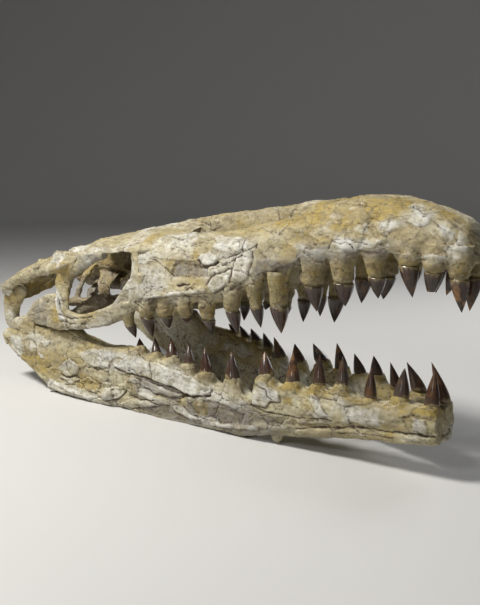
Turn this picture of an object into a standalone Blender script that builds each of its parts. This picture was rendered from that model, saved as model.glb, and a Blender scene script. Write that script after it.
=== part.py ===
"""Fossil mosasaur skull, lying on its lower jaws with the mouth part open.

Metres, +Z up. The snout points along +X and the animal's right side faces -Y.
The origin is on the ground under the middle of the skull. A place is mostly
given as (back, side, up): the distance back from the tip of the snout, the
distance out from the middle plane, and the height above the ground.
"""

import math

import bmesh
import bpy
import numpy as np
from mathutils import Matrix, Vector

# Driving dimensions
SKULL_LENGTH = 0.93
SNOUT_X = SKULL_LENGTH / 2
GAP = 0.0004
RIM_WIDTH = 0.028
SOCKET_DEPTH = 0.009
BAR_SIDES = 8
INNER_SIDES = 6
TOOTH_SIDES = 6
PALATE_TEETH = 5
ROOF_THICKNESS = 0.013
DENTARY_THICKNESS = 0.030

# Cranium: (distance back, value)
ROOF_LINE = ((0.0, 0.312), (0.010, 0.331), (0.035, 0.350), (0.065, 0.360), (0.10, 0.367), (0.18, 0.369),
             (0.25, 0.359), (0.33, 0.348), (0.41, 0.339), (0.48, 0.327), (0.56, 0.314), (0.62, 0.306))
TOOTH_LINE = ((0.0, 0.292), (0.03, 0.286), (0.06, 0.290), (0.10, 0.292), (0.15, 0.287), (0.20, 0.277),
              (0.25, 0.263), (0.30, 0.247), (0.335, 0.226), (0.37, 0.208), (0.44, 0.197), (0.50, 0.184),
              (0.56, 0.167), (0.62, 0.150))
SNOUT_WIDTH = ((0.0, 0.014), (0.010, 0.025), (0.03, 0.036), (0.06, 0.044), (0.10, 0.053), (0.20, 0.069),
               (0.30, 0.085), (0.40, 0.102), (0.50, 0.119), (0.57, 0.133), (0.62, 0.14))
VAULT_DEPTH = ((0.0, 0.001), (0.06, 0.006), (0.15, 0.018), (0.30, 0.030), (0.62, 0.034))
SNOUT_STATIONS = (0.0, 0.010, 0.028, 0.055, 0.09, 0.13, 0.18, 0.23, 0.28, 0.32, 0.36, 0.42, 0.48, 0.53, 0.570)

TABLE_LINE = ((0.48, 0.312), (0.55, 0.312), (0.62, 0.304), (0.70, 0.289), (0.76, 0.277), (0.82, 0.262),
              (0.88, 0.247))
TABLE_WIDTH = ((0.48, 0.050), (0.54, 0.110), (0.60, 0.112), (0.655, 0.108), (0.690, 0.150), (0.730, 0.155),
               (0.755, 0.055), (0.80, 0.030), (0.88, 0.030))
TABLE_DROP = ((0.48, 0.016), (0.54, 0.036), (0.655, 0.040), (0.690, 0.044), (0.730, 0.040), (0.755, 0.014),
              (0.88, 0.008))
TABLE_STATIONS = (0.49, 0.54, 0.60, 0.655, 0.690, 0.730, 0.755, 0.80, 0.88)

NARIS_FRONT = 0.27
NARIS_REAR = 0.51
NARIS_SIDE = 0.027
NARIS_WIDTH = 0.016
NARIS_SADDLE = ((0.0, 0.0), (0.20, 0.0), (0.30, 0.8), (0.42, 1.0), (0.50, 0.8), (0.56, 0.2), (0.62, 0.0))

# Lower jaw: (distance back, value)
JAW_TOP = ((0.042, 0.100), (0.055, 0.106), (0.10, 0.107), (0.19, 0.108), (0.27, 0.103), (0.31, 0.098),
           (0.37, 0.090), (0.42, 0.098), (0.46, 0.101), (0.50, 0.109), (0.55, 0.110), (0.60, 0.104),
           (0.64, 0.102), (0.69, 0.110), (0.76, 0.110), (0.83, 0.106), (0.87, 0.099), (0.91, 0.101),
           (0.93, 0.094))
JAW_BOTTOM = ((0.042, 0.060), (0.055, 0.053), (0.10, 0.043), (0.15, 0.036), (0.24, 0.021), (0.30, 0.014),
              (0.35, 0.0), (0.76, 0.0), (0.81, 0.020), (0.87, 0.040), (0.93, 0.070))
JAW_WIDTH = ((0.042, 0.021), (0.055, 0.0265), (0.10, 0.036), (0.20, 0.057), (0.40, 0.095), (0.50, 0.112),
             (0.60, 0.130), (0.80, 0.160), (0.93, 0.165))
JAW_STATIONS = (0.042, 0.050, 0.07, 0.10, 0.15, 0.20, 0.25, 0.30, 0.35, 0.40, 0.45, 0.50, 0.55, 0.60, 0.64,
                0.69, 0.75, 0.80, 0.86, 0.90, 0.93)
REST_FRONT = 0.35
REST_REAR = 0.76
KNOB_BACK = 0.29
KNOB_SIDE = 0.060

# Teeth: (distance back, height out of the bone, width where it leaves the bone)
UPPER_TEETH = ((0.021, 0.060, 0.024), (0.052, 0.048, 0.022), (0.084, 0.049, 0.024), (0.127, 0.053, 0.025),
               (0.178, 0.062, 0.027), (0.226, 0.065, 0.027), (0.283, 0.085, 0.031), (0.326, 0.055, 0.022),
               (0.366, 0.050, 0.023), (0.414, 0.047, 0.023), (0.455, 0.034, 0.021), (0.497, 0.035, 0.020),
               (0.536, 0.043, 0.019), (0.578, 0.036, 0.018))
LOWER_TEETH = ((0.055, 0.040, 0.020), (0.098, 0.037, 0.020), (0.143, 0.036, 0.018), (0.185, 0.040, 0.020),
               (0.221, 0.041, 0.020), (0.265, 0.041, 0.020), (0.311, 0.041, 0.021), (0.371, 0.040, 0.022),
               (0.422, 0.030, 0.018), (0.457, 0.030, 0.017), (0.490, 0.029, 0.016), (0.520, 0.024, 0.015),
               (0.553, 0.020, 0.014))
UPPER_INSET = 0.0140
LOWER_INSET = 0.0145
UPPER_LEAN = (0.000, -0.003)
LOWER_LEAN = (0.005, -0.002)

BONE = (0.72, 0.66, 0.52)
JAW_BONE = (0.70, 0.63, 0.48)
QUADRATE_BONE = (0.66, 0.57, 0.42)
ENAMEL = (0.23, 0.17, 0.14)


def clear_scene():
    """Remove what the scene holds."""
    for item in list(bpy.data.objects):
        bpy.data.objects.remove(item, do_unlink=True)


def new_collection(name):
    """Make a collection in the scene."""
    group = bpy.data.collections.new(name)
    bpy.context.scene.collection.children.link(group)
    return group


def principled(name, colour, roughness):
    """Make a plain material of one colour."""
    material = bpy.data.materials.new(name)
    material.use_nodes = True
    shader = material.node_tree.nodes["Principled BSDF"]
    shader.inputs["Base Color"].default_value = (*colour, 1.0)
    shader.inputs["Roughness"].default_value = roughness
    shader.inputs["Metallic"].default_value = 0.0
    return material


def along(table, back):
    """Read a table of (distance back, value) by a smooth curve through its points."""
    at = np.array([row[0] for row in table])
    value = np.array([row[1] for row in table])
    slope = np.gradient(value, at)
    i = int(np.clip(np.searchsorted(at, back) - 1, 0, len(at) - 2))
    span = at[i + 1] - at[i]
    t = float(np.clip((back - at[i]) / span, 0.0, 1.0))
    h = (2 * t**3 - 3 * t**2 + 1, t**3 - 2 * t**2 + t, -2 * t**3 + 3 * t**2, t**3 - t**2)
    return float(h[0] * value[i] + h[1] * span * slope[i] + h[2] * value[i + 1] + h[3] * span * slope[i + 1])


def place(back, side, up):
    """Turn (back, side, up) into a point."""
    return Vector((SNOUT_X - back, side, up))


def loft(name, rings, group, folded=False):
    """Make a closed solid through rings of equally many points; a last ring of one point is a tip.

    `folded` splits the sides into triangles the same way each time, so that a solid and the
    slightly larger cutter of its socket stay clear of each other.
    """
    mesh = bmesh.new()
    rows = [[mesh.verts.new(point) for point in ring] for ring in rings]
    count = len(rings[0])
    pointed = len(rings[-1]) == 1
    for near, far in zip(rows, rows[1:]):
        for i in range(count):
            j = (i + 1) % count
            if len(far) == 1:
                mesh.faces.new((near[i], near[j], far[0]))
            elif folded:
                mesh.faces.new((near[i], near[j], far[j]))
                mesh.faces.new((near[i], far[j], far[i]))
            else:
                mesh.faces.new((near[i], near[j], far[j], far[i]))
    mesh.faces.new(rows[0])
    if not pointed:
        mesh.faces.new(rows[-1])
    bmesh.ops.recalc_face_normals(mesh, faces=mesh.faces)
    return object_from(name, mesh, group)


def object_from(name, mesh, group):
    """Turn a bmesh into an object in a collection."""
    data = bpy.data.meshes.new(name)
    mesh.to_mesh(data)
    mesh.free()
    item = bpy.data.objects.new(name, data)
    group.objects.link(item)
    return item


def bar(name, path, sizes, group, across=(0.0, 1.0, 0.0), grow=0.0, sides=BAR_SIDES, folded=False):
    """Make a rod with oval sections along a path.

    Each size is (half thickness along `across`, half depth square to it and to the path).
    """
    points = [place(*spot) for spot in path]
    rings = []
    for i, point in enumerate(points):
        tangent = (points[min(i + 1, len(points) - 1)] - points[max(i - 1, 0)]).normalized()
        flat = Vector(across)
        flat = (flat - flat.dot(tangent) * tangent).normalized()
        deep = tangent.cross(flat)
        if i == 0:
            point = point - grow * tangent
        if i == len(points) - 1:
            point = point + grow * tangent
        ring = []
        for k in range(sides):
            turn = 2 * math.pi * (k + 0.5) / sides
            ring.append(point + math.cos(turn) * (sizes[i][0] + grow) * flat
                        + math.sin(turn) * (sizes[i][1] + grow) * deep)
        rings.append(ring)
    return loft(name, rings, group, folded)


def lump(name, centre, radii, group):
    """Make an oval lump."""
    mesh = bmesh.new()
    bmesh.ops.create_icosphere(mesh, subdivisions=2, radius=1.0)
    shape = Matrix.Translation(place(*centre)) @ Matrix.Diagonal((*radii, 1.0))
    bmesh.ops.transform(mesh, matrix=shape, verts=mesh.verts)
    return object_from(name, mesh, group)


def plate(name, outline, inner, outer, group):
    """Make a flat plate from an outline of (back, up), between two distances out from the middle."""
    mesh = bmesh.new()
    face = mesh.faces.new([mesh.verts.new(place(back, inner, up)) for back, up in outline])
    pushed = bmesh.ops.extrude_face_region(mesh, geom=[face])
    verts = [item for item in pushed["geom"] if isinstance(item, bmesh.types.BMVert)]
    bmesh.ops.translate(mesh, verts=verts, vec=(0.0, outer - inner, 0.0))
    bmesh.ops.recalc_face_normals(mesh, faces=mesh.faces)
    return object_from(name, mesh, group)


def settle(item):
    """Apply an object's modifiers."""
    graph = bpy.context.evaluated_depsgraph_get()
    data = bpy.data.meshes.new_from_object(item.evaluated_get(graph))
    item.modifiers.clear()
    item.data = data


def combine(item, others, operation):
    """Join other solids to an object, or cut them from it, all in one step."""
    group = bpy.data.collections.new("tools")
    for other in others:
        other.hide_render = True
        other.display_type = "WIRE"
        group.objects.link(other)
    boolean = item.modifiers.new("join", "BOOLEAN")
    boolean.operation = operation
    boolean.solver = "EXACT"
    boolean.operand_type = "COLLECTION"
    boolean.collection = group
    settle(item)


def snout_ring(back):
    """Give the section of the snout: a round-shouldered top, a rim for the teeth and a vaulted palate."""
    top = along(ROOF_LINE, back)
    low = along(TOOTH_LINE, back)
    width = along(SNOUT_WIDTH, back)
    vault = along(VAULT_DEPTH, back)
    tall = top - low
    rim = min(RIM_WIDTH, 0.75 * width)
    saddle = along(NARIS_SADDLE, back)
    half = [(0.0, top), (0.15 * width, top - 0.01 * tall),
            (0.33 * width, top - (0.04 + 0.12 * saddle) * tall),
            (0.60 * width, top - (0.15 + 0.08 * saddle) * tall), (0.83 * width, top - 0.37 * tall),
            (0.95 * width, top - 0.62 * tall), (width, low + 0.12 * tall), (width - 0.002, low),
            (width - rim, low), (0.85 * (width - rim), low + 0.6 * vault), (0.0, low + vault)]
    ring = half + [(-side, up) for side, up in half[-2:0:-1]]
    return [place(back, side, up) for side, up in ring]


def table_ring(back):
    """Give the section of the skull table: a thin roof that slopes down to both sides."""
    top = along(TABLE_LINE, back)
    width = along(TABLE_WIDTH, back)
    drop = along(TABLE_DROP, back)
    half = [(0.0, top), (0.5 * width, top - 0.25 * drop), (width, top - drop),
            (width - 0.003, top - drop - ROOF_THICKNESS),
            (0.5 * width, top - 0.25 * drop - ROOF_THICKNESS - 0.003), (0.0, top - ROOF_THICKNESS - 0.006)]
    ring = half + [(-side, up) for side, up in half[-2:0:-1]]
    return [place(back, side, up) for side, up in ring]


def jaw_ring(back, hand):
    """Give the section of one lower jaw: a rim for the teeth, a full side and a narrower foot."""
    top = along(JAW_TOP, back)
    low = max(along(JAW_BOTTOM, back), 0.0)
    if REST_FRONT <= back <= REST_REAR:
        low = 0.0
    outer = along(JAW_WIDTH, back)
    inner = max(outer - DENTARY_THICKNESS, GAP)
    tall = top - low
    ring = [(outer - 0.004, top), (outer, top - 0.18 * tall), (outer + 0.002, top - 0.50 * tall),
            (outer - 0.002, low + 0.26 * tall), (outer - 0.001, low + 0.16 * tall), (outer - 0.007, low),
            (inner + 0.009, low), (inner + 0.003, low + 0.25 * tall), (inner, top - 0.40 * tall),
            (inner + 0.003, top)]
    return [place(back, hand * side, up) for side, up in ring]


def paired(parts_for_side):
    """Make both sides' solids from a function of +1 or -1."""
    return [item for hand in (1, -1) for item in parts_for_side(hand)]


def cheek_bones(hand, group):
    """Make one side's bars round the eye and temple openings."""
    def spots(*path):
        return [(back, hand * side, up) for back, side, up in path]

    outline = [(0.724, 0.190), (0.740, 0.187), (0.826, 0.167), (0.848, 0.150), (0.852, 0.128), (0.785, 0.119),
               (0.724, 0.123)]
    upright = (0.0, 0.0, 1.0)
    return [
        bar("jugal", spots((0.50, 0.104, 0.188), (0.570, 0.126, 0.168), (0.62, 0.140, 0.153),
                           (0.68, 0.150, 0.142), (0.738, 0.156, 0.136)),
            [(0.008, 0.012), (0.008, 0.014), (0.008, 0.014), (0.008, 0.014), (0.007, 0.012)], group),
        bar("postorbital", spots((0.712, 0.148, 0.248), (0.712, 0.152, 0.215), (0.716, 0.155, 0.175),
                                 (0.722, 0.156, 0.134)),
            [(0.008, 0.020), (0.008, 0.016), (0.008, 0.015), (0.007, 0.014)], group),
        bar("upper_temporal_bar", spots((0.700, 0.148, 0.243), (0.750, 0.158, 0.233), (0.800, 0.166, 0.219),
                                        (0.860, 0.171, 0.200), (0.915, 0.170, 0.183)),
            [(0.008, 0.015), (0.008, 0.015), (0.008, 0.013), (0.008, 0.010), (0.010, 0.010)], group),
        lump("squamosal", (0.903, hand * 0.164, 0.185), (0.025, 0.017, 0.014), group),
        bar("parietal_arm", spots((0.825, 0.012, 0.246), (0.865, 0.060, 0.230), (0.892, 0.115, 0.205),
                                  (0.907, 0.162, 0.189)),
            [(0.012, 0.010), (0.012, 0.008), (0.011, 0.008), (0.009, 0.010)], group, upright),
        bar("opisthotic_arm", spots((0.855, 0.010, 0.208), (0.878, 0.070, 0.201), (0.902, 0.158, 0.185)),
            [(0.015, 0.010), (0.012, 0.008), (0.009, 0.010)], group, upright, sides=INNER_SIDES),
        bar("pterygoid", spots((0.44, 0.046, 0.222), (0.53, 0.048, 0.200), (0.62, 0.050, 0.180),
                               (0.70, 0.052, 0.165), (0.79, 0.064, 0.154), (0.875, 0.112, 0.148)),
            [(0.012, 0.010), (0.015, 0.009), (0.017, 0.009), (0.017, 0.009), (0.013, 0.009), (0.005, 0.012)],
            group, sides=INNER_SIDES),
        bar("ectopterygoid", spots((0.700, 0.050, 0.163), (0.705, 0.110, 0.152), (0.715, 0.153, 0.142)),
            [(0.007, 0.014), (0.006, 0.011), (0.007, 0.012)], group, upright, sides=INNER_SIDES),
        bar("epipterygoid", spots((0.815, 0.072, 0.150), (0.800, 0.046, 0.205), (0.782, 0.016, 0.258)),
            [(0.005, 0.007), (0.005, 0.006), (0.006, 0.007)], group, sides=INNER_SIDES),
        bar("basal_process", spots((0.810, 0.010, 0.188), (0.790, 0.058, 0.158)),
            [(0.010, 0.012), (0.008, 0.010)], group, upright, sides=INNER_SIDES),
        plate("cheek_plate", outline, hand * 0.152, hand * 0.160, group),
    ]


def palate_teeth(hand, group):
    """Make one side's row of small teeth on the pterygoid."""
    teeth = []
    for i in range(PALATE_TEETH):
        back = 0.56 + 0.03 * i
        up = 0.190 - 0.19 * (back - 0.56)
        path = [(back, hand * 0.049, up - 0.002), (back + 0.008, hand * 0.049, up - 0.028)]
        teeth.append(bar("palate_tooth", path, [(0.005, 0.006), (0.0008, 0.0008)], group, sides=5))
    return teeth


def naris_cutter(hand, group):
    """Make the long slit that the nostril leaves in the top of the snout."""
    path = []
    sizes = []
    for t in np.linspace(0.0, 1.0, 6):
        back = NARIS_FRONT + t * (NARIS_REAR - NARIS_FRONT)
        path.append((back, hand * (NARIS_SIDE + 0.006 * t), along(ROOF_LINE, back) - 0.008))
        swell = math.sin(math.pi * (0.08 + 0.84 * t)) ** 0.7
        sizes.append((0.5 * NARIS_WIDTH * swell, 0.024))
    return bar("naris", path, sizes, group)


def tooth_rings(root, out, lean, height, width, grow=0.0):
    """Give the rings of one tooth: a straight root, a swollen neck and a pointed curved crown.

    `root` is the middle of the tooth where it leaves the bone, `out` is +1 for up and -1 for
    down, and `lean` is how far the point leans (back, out to the side).
    """
    shares = ((-SOCKET_DEPTH / height, 0.48), (0.0, 0.50), (0.40, 0.47), (0.74, 0.28), (1.0, 0.0))
    if grow:
        wider = grow / width
        shares = ((-(SOCKET_DEPTH + grow) / height, 0.48 + wider), (0.0, 0.50 + wider), (0.40, 0.47 + wider))
    rings = []
    for share, radius in shares:
        bend = max(share, 0.0) ** 2
        centre = root + Vector((-lean[0] * bend, lean[1] * bend, out * share * height))
        ring = []
        if radius == 0.0:
            rings.append([centre])
            continue
        for k in range(TOOTH_SIDES):
            turn = 2 * math.pi * (k + 0.5) / TOOTH_SIDES
            ring.append(centre + radius * width * Vector((math.cos(turn), 0.86 * math.sin(turn), 0.0)))
        rings.append(ring)
    return rings


def tooth_row(jaw, hand):
    """List one row's teeth as (name, root, out, lean, height, width)."""
    side_name = "left" if hand > 0 else "right"
    rows = {"upper": (UPPER_TEETH, TOOTH_LINE, SNOUT_WIDTH, UPPER_INSET, UPPER_LEAN, -1),
            "lower": (LOWER_TEETH, JAW_TOP, JAW_WIDTH, LOWER_INSET, LOWER_LEAN, 1)}
    teeth, line, width_table, inset, lean, out = rows[jaw]
    row = []
    for number, (back, height, width) in enumerate(teeth, start=1):
        root = place(back, hand * max(along(width_table, back) - inset, 0.0135), along(line, back))
        name = f"{jaw}_{side_name}_tooth_{number:02d}"
        row.append((name, root, out, (lean[0], hand * lean[1]), height, width))
    return row


def make_teeth(row, parts, material):
    """Make one row of teeth, each a solid of its own."""
    for name, root, out, lean, height, width in row:
        tooth = loft(name, tooth_rings(root, out, lean, height, width), parts)
        tooth.data.materials.append(material)
        tooth.data.shade_smooth()
        tooth.data.set_sharp_from_angle(angle=math.radians(50))


def socket_cutters(row, group):
    """Make the sockets of a row of teeth, a hair wider than the roots that stand in them."""
    return [loft("socket", tooth_rings(root, out, lean, height, width, GAP), group)
            for name, root, out, lean, height, width in row]


def quadrate(name, hand, group, grow=0.0):
    """Make the upright ear-shaped bone that carries the jaw joint."""
    path = [(0.904, hand * 0.163, 0.180), (0.899, hand * 0.163, 0.162), (0.895, hand * 0.160, 0.140),
            (0.890, hand * 0.155, 0.118), (0.887, hand * 0.151, 0.096)]
    sizes = [(0.008, 0.016), (0.010, 0.030), (0.009, 0.029), (0.010, 0.021), (0.010, 0.017)]
    return bar(name, path, sizes, group, grow=grow, folded=True)


def make_cranium(parts, cutters, material):
    """Join the snout, the skull table, the braincase and the cheek bars in one bone."""
    cranium = loft("cranium", [snout_ring(back) for back in SNOUT_STATIONS], parts)
    table = loft("table", [table_ring(back) for back in TABLE_STATIONS], cutters)
    braincase = bar("braincase", [(0.71, 0.0, 0.256), (0.77, 0.0, 0.230), (0.84, 0.0, 0.216),
                                  (0.882, 0.0, 0.209)],
                    [(0.022, 0.020), (0.034, 0.034), (0.036, 0.036), (0.028, 0.028)], cutters)
    base = bar("base", [(0.69, 0.0, 0.194), (0.78, 0.0, 0.188), (0.872, 0.0, 0.186)],
               [(0.006, 0.006), (0.020, 0.014), (0.020, 0.016)], cutters)
    condyle = lump("condyle", (0.892, 0.0, 0.190), (0.018, 0.018, 0.015), cutters)
    crest = bar("crest", [(0.60, 0.0, 0.298), (0.72, 0.0, 0.279), (0.80, 0.0, 0.262), (0.87, 0.0, 0.246)],
                [(0.010, 0.008), (0.007, 0.009), (0.006, 0.009), (0.006, 0.006)], cutters)
    septum = bar("septum", [(0.54, 0.0, 0.222), (0.62, 0.0, 0.200), (0.70, 0.0, 0.195)],
                 [(0.004, 0.012), (0.003, 0.008), (0.004, 0.006)], cutters)
    solids = [table, braincase, base, condyle, crest, septum]
    solids += paired(lambda hand: cheek_bones(hand, cutters))
    solids += paired(lambda hand: palate_teeth(hand, cutters))
    combine(cranium, solids, "UNION")
    holes = [naris_cutter(hand, cutters) for hand in (1, -1)]
    holes += [quadrate("joint", hand, cutters, GAP) for hand in (1, -1)]
    for hand in (1, -1):
        holes += socket_cutters(tooth_row("upper", hand), cutters)
    combine(cranium, holes, "DIFFERENCE")
    cranium.data.materials.append(material)


def make_jaw(hand, parts, cutters, material):
    """Make one lower jaw, with the knob under it and the ledge of the angular bone."""
    name = "left_mandible" if hand > 0 else "right_mandible"
    jaw = loft(name, [jaw_ring(back, hand) for back in JAW_STATIONS], parts)
    knob = bar("knob", [(KNOB_BACK - 0.006, hand * KNOB_SIDE, 0.034), (KNOB_BACK, hand * KNOB_SIDE, 0.012),
                        (KNOB_BACK, hand * KNOB_SIDE, 0.0)],
               [(0.012, 0.020), (0.010, 0.011), (0.006, 0.006)], cutters)
    angular = bar("angular", [(0.600, hand * 0.120, 0.022), (0.690, hand * 0.135, 0.018),
                              (0.765, hand * 0.145, 0.021)],
                  [(0.014, 0.014), (0.016, 0.016), (0.013, 0.013)], cutters)
    combine(jaw, [knob, angular], "UNION")
    holes = socket_cutters(tooth_row("lower", hand), cutters)
    holes.append(quadrate("joint", hand, cutters, GAP))
    combine(jaw, holes, "DIFFERENCE")
    jaw.data.materials.append(material)


def make_quadrates(parts, material):
    """Make both quadrates."""
    for side_name, hand in (("left", 1), ("right", -1)):
        bone = quadrate(f"{side_name}_quadrate", hand, parts)
        bone.data.materials.append(material)


def main():
    """Build the skull."""
    clear_scene()
    parts = new_collection("fossil mosasaur skull")
    cutters = new_collection("cutters")
    make_cranium(parts, cutters, principled("cranium bone", BONE, 0.75))
    jaw_bone = principled("lower jaw bone", JAW_BONE, 0.75)
    for hand in (1, -1):
        make_jaw(hand, parts, cutters, jaw_bone)
    make_quadrates(parts, principled("quadrate bone", QUADRATE_BONE, 0.8))
    enamel = principled("tooth enamel", ENAMEL, 0.3)
    for jaw in ("upper", "lower"):
        for hand in (1, -1):
            make_teeth(tooth_row(jaw, hand), parts, enamel)


main()
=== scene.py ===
# %% [markdown]
# A fossil mosasaur skull: the dressed version
#
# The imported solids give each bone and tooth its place. This script puts the finished surface over
# them: cracked, stained bone with flaking plates, and glossy ridged tooth crowns on tan bony roots.
# Places are mostly given as (back, side, up): the distance back from the tip of the snout, the
# distance out from the middle plane and the height above the ground. The long tables are written in
# millimetres, and `pairs` and `triples` turn them into metres.

# %% Load the frame
import itertools
import math

import bpy
import numpy as np
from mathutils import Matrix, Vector


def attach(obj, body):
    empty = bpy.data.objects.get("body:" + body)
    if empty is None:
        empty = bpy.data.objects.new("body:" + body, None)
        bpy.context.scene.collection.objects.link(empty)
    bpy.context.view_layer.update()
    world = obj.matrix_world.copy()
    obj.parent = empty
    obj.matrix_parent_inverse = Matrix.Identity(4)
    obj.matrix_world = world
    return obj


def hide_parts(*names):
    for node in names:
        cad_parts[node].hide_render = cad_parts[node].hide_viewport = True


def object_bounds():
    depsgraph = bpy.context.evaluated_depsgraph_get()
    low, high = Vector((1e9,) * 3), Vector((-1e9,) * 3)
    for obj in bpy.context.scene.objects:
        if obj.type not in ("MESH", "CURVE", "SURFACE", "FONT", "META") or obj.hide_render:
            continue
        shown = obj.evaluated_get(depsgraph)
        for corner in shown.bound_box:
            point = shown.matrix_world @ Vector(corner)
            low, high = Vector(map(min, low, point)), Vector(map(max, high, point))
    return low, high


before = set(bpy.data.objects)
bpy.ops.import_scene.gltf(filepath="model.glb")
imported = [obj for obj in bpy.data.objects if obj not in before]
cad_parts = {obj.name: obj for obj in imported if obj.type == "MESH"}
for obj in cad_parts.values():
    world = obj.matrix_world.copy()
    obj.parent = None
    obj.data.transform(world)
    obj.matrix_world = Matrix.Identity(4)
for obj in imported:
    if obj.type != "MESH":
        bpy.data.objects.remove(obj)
CAD_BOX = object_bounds()
BOX_LOW = np.array(CAD_BOX[0])
BOX_HIGH = np.array(CAD_BOX[1])
SNOUT_X = 0.465  # the x of the snout's tip, where back is 0
print("solid box", np.round(BOX_LOW, 3), np.round(BOX_HIGH, 3))

# %% [markdown]
# Tables and curves
#
# A skull is long and changes slowly, so most of its shape is a few tables of (distance back, value).
# Reading them through a cubic keeps the bones free of corners. All reading is done on whole arrays.


# %% Millimetres to metres
def rows_of(size, millimetres):
    """Split a run of millimetres into rows of `size` numbers, each divided by 1000."""
    metres = [value / 1000 for value in millimetres]
    return [tuple(metres[k:k + size]) for k in range(0, len(metres), size)]


def pairs(*millimetres):
    """Pairs in metres from a run of millimetres."""
    return rows_of(2, millimetres)


def triples(*millimetres):
    """Triples in metres from a run of millimetres."""
    return rows_of(3, millimetres)


# %% Read a table smoothly
def read(table, at):
    """Read a table of (place, value) at an array of places.

    Between two points the value is a cubic that meets both with slopes taken from their neighbours.
    """
    place, value = np.array(table, float).T
    slope = np.gradient(value, place)
    i = np.clip(np.searchsorted(place, at) - 1, 0, len(place) - 2)
    span = place[i + 1] - place[i]
    t = np.clip((at - place[i]) / span, 0.0, 1.0)
    rise = (2 * t**3 - 3 * t**2 + 1) * value[i] + (3 * t**2 - 2 * t**3) * value[i + 1]
    return rise + span * ((t**3 - 2 * t**2 + t) * slope[i] + (t**3 - t**2) * slope[i + 1])


def reading(value, at):
    """Read a table (a list of pairs) at the places; a number or an array goes through as it is."""
    return read(value, at) if isinstance(value, list) else value + 0 * at


def curve(points, steps):
    """Carry a smooth curve through points: on each span a cubic whose end slopes are half the chord
    between the neighbours. Works on the second last axis, so many curves go through at once."""
    points = np.asarray(points, float)
    padded = np.concatenate([2 * points[..., :1, :] - points[..., 1:2, :], points,
                             2 * points[..., -1:, :] - points[..., -2:-1, :]], axis=-2)
    a, b, c, d = (padded[..., k:points.shape[-2] - 1 + k, None, :] for k in range(4))
    t = (np.arange(steps) / steps)[:, None]
    out = b + 0.5 * t * (c - a + t * (2 * a - 5 * b + 4 * c - d + t * (3 * (b - c) + d - a)))
    out = out.reshape(*points.shape[:-2], -1, points.shape[-1])
    return np.concatenate([out, points[..., -1:, :]], axis=-2)


def soft_step(value, low, high):
    """Rise from 0 to 1 between low and high with no corner: t*t*(3-2t)."""
    t = np.clip((value - low) / (high - low), 0.0, 1.0)
    return t * t * (3 - 2 * t)


# %% [markdown]
# Noise worked out with arrays
#
# Broken bone is irregular at every scale. Two kinds of noise cover it: clouds, which are smooth
# swellings, and cells, which split the surface into plates with cracks between them. Both hash whole
# numbers, so the same place always gets the same value and the script gives one result each run.


# %% Clouds and cells
def hashed(cell, seed):
    """Give each whole-numbered cell (x, y, z) a number from 0 to 1 by mixing its bits."""
    n = (cell[..., 0] * 73856093) ^ (cell[..., 1] * 19349663) ^ (cell[..., 2] * 83492791)
    n = (n ^ (seed * 265443576)) & 0xFFFFFFFF
    for _ in range(2):
        n = ((n ^ (n >> 16)) * 0x45D9F3B) & 0xFFFFFFFF
    return ((n ^ (n >> 16)) & 0xFFFFFF) / float(0x1000000)


def hashed_spot(cell, seed):
    """Three hashed numbers for each cell: a place inside it."""
    return np.stack([hashed(cell, seed), hashed(cell, seed + 1), hashed(cell, seed + 2)], axis=1)


def cloud(points, size, seed=1, octaves=3):
    """Smooth noise from -1 to 1: hashed corner values blended over each cell, in halving sizes."""
    total = np.zeros(len(points))
    amount, weight = 1.0, 0.0
    for k in range(octaves):
        place = points / size
        base = np.floor(place).astype(np.int64)
        t = place - base
        t = t * t * (3 - 2 * t)
        for corner in itertools.product((0, 1), repeat=3):
            share = np.prod(np.where(np.array(corner) == 1, t, 1 - t), axis=1)
            total += amount * share * hashed(base + np.array(corner), seed + 17 * k)
        weight += amount
        amount *= 0.5
        size = np.asarray(size) / 2.1
    return 2 * total / weight - 1


def cells(points, size, seed=1):
    """Split space into cells round scattered points.

    Gives how far each place is from the nearest border in cell widths (second nearest point less
    nearest), a random number for its cell, and the height of a randomly tilted plane on that cell.
    """
    place = points / np.asarray(size)
    base = np.floor(place).astype(np.int64)
    near = np.full(len(points), 9.0)
    second = np.full(len(points), 9.0)
    value = np.zeros(len(points))
    tilt = np.zeros(len(points))
    for offset in itertools.product((-1, 0, 1), repeat=3):
        cell = base + np.array(offset)
        away = place - (cell + hashed_spot(cell, seed))
        distance = np.linalg.norm(away, axis=1)
        closer = distance < near
        second = np.where(closer, near, np.minimum(second, distance))
        lean = hashed_spot(cell, seed + 3) - 0.5
        value = np.where(closer, hashed(cell, seed + 6), value)
        tilt = np.where(closer, np.sum(away * lean, axis=1), tilt)
        near = np.minimum(near, distance)
    return second - near, value, tilt


# %% [markdown]
# Marks placed one by one
#
# The photographed side has cracks, plates and stains that make it this skull and no other. Each
# is written down in (back, up) on the side wall. A crack is a line and a plate is an outline, and
# what the surface needs from either is only how far away it is.


# %% Distance to a line and to an outline
def to_line(back, up, line):
    """Distance from each (back, up) to a line of spans: to each span's nearest point, the least of all."""
    best = np.full(back.shape, 9.0)
    for (b0, u0), (b1, u1) in zip(line, line[1:]):
        length = (b1 - b0) ** 2 + (u1 - u0) ** 2
        t = np.clip(((back - b0) * (b1 - b0) + (up - u0) * (u1 - u0)) / length, 0.0, 1.0)
        best = np.minimum(best, np.hypot(back - b0 - t * (b1 - b0), up - u0 - t * (u1 - u0)))
    return best


def within(back, up, outline):
    """Signed distance to a closed outline, positive inside. A place is inside where a level ray
    from it crosses the outline an odd number of times."""
    closed = list(outline) + [outline[0]]
    odd = np.zeros(back.shape, bool)
    for (b0, u0), (b1, u1) in zip(closed, closed[1:]):
        crosses = (u0 > up) != (u1 > up)
        rise = u1 - u0 if u1 != u0 else 1e-9
        odd ^= crosses & (back < b0 + (up - u0) * (b1 - b0) / rise)
    return np.where(odd, 1.0, -1.0) * to_line(back, up, closed)


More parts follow.
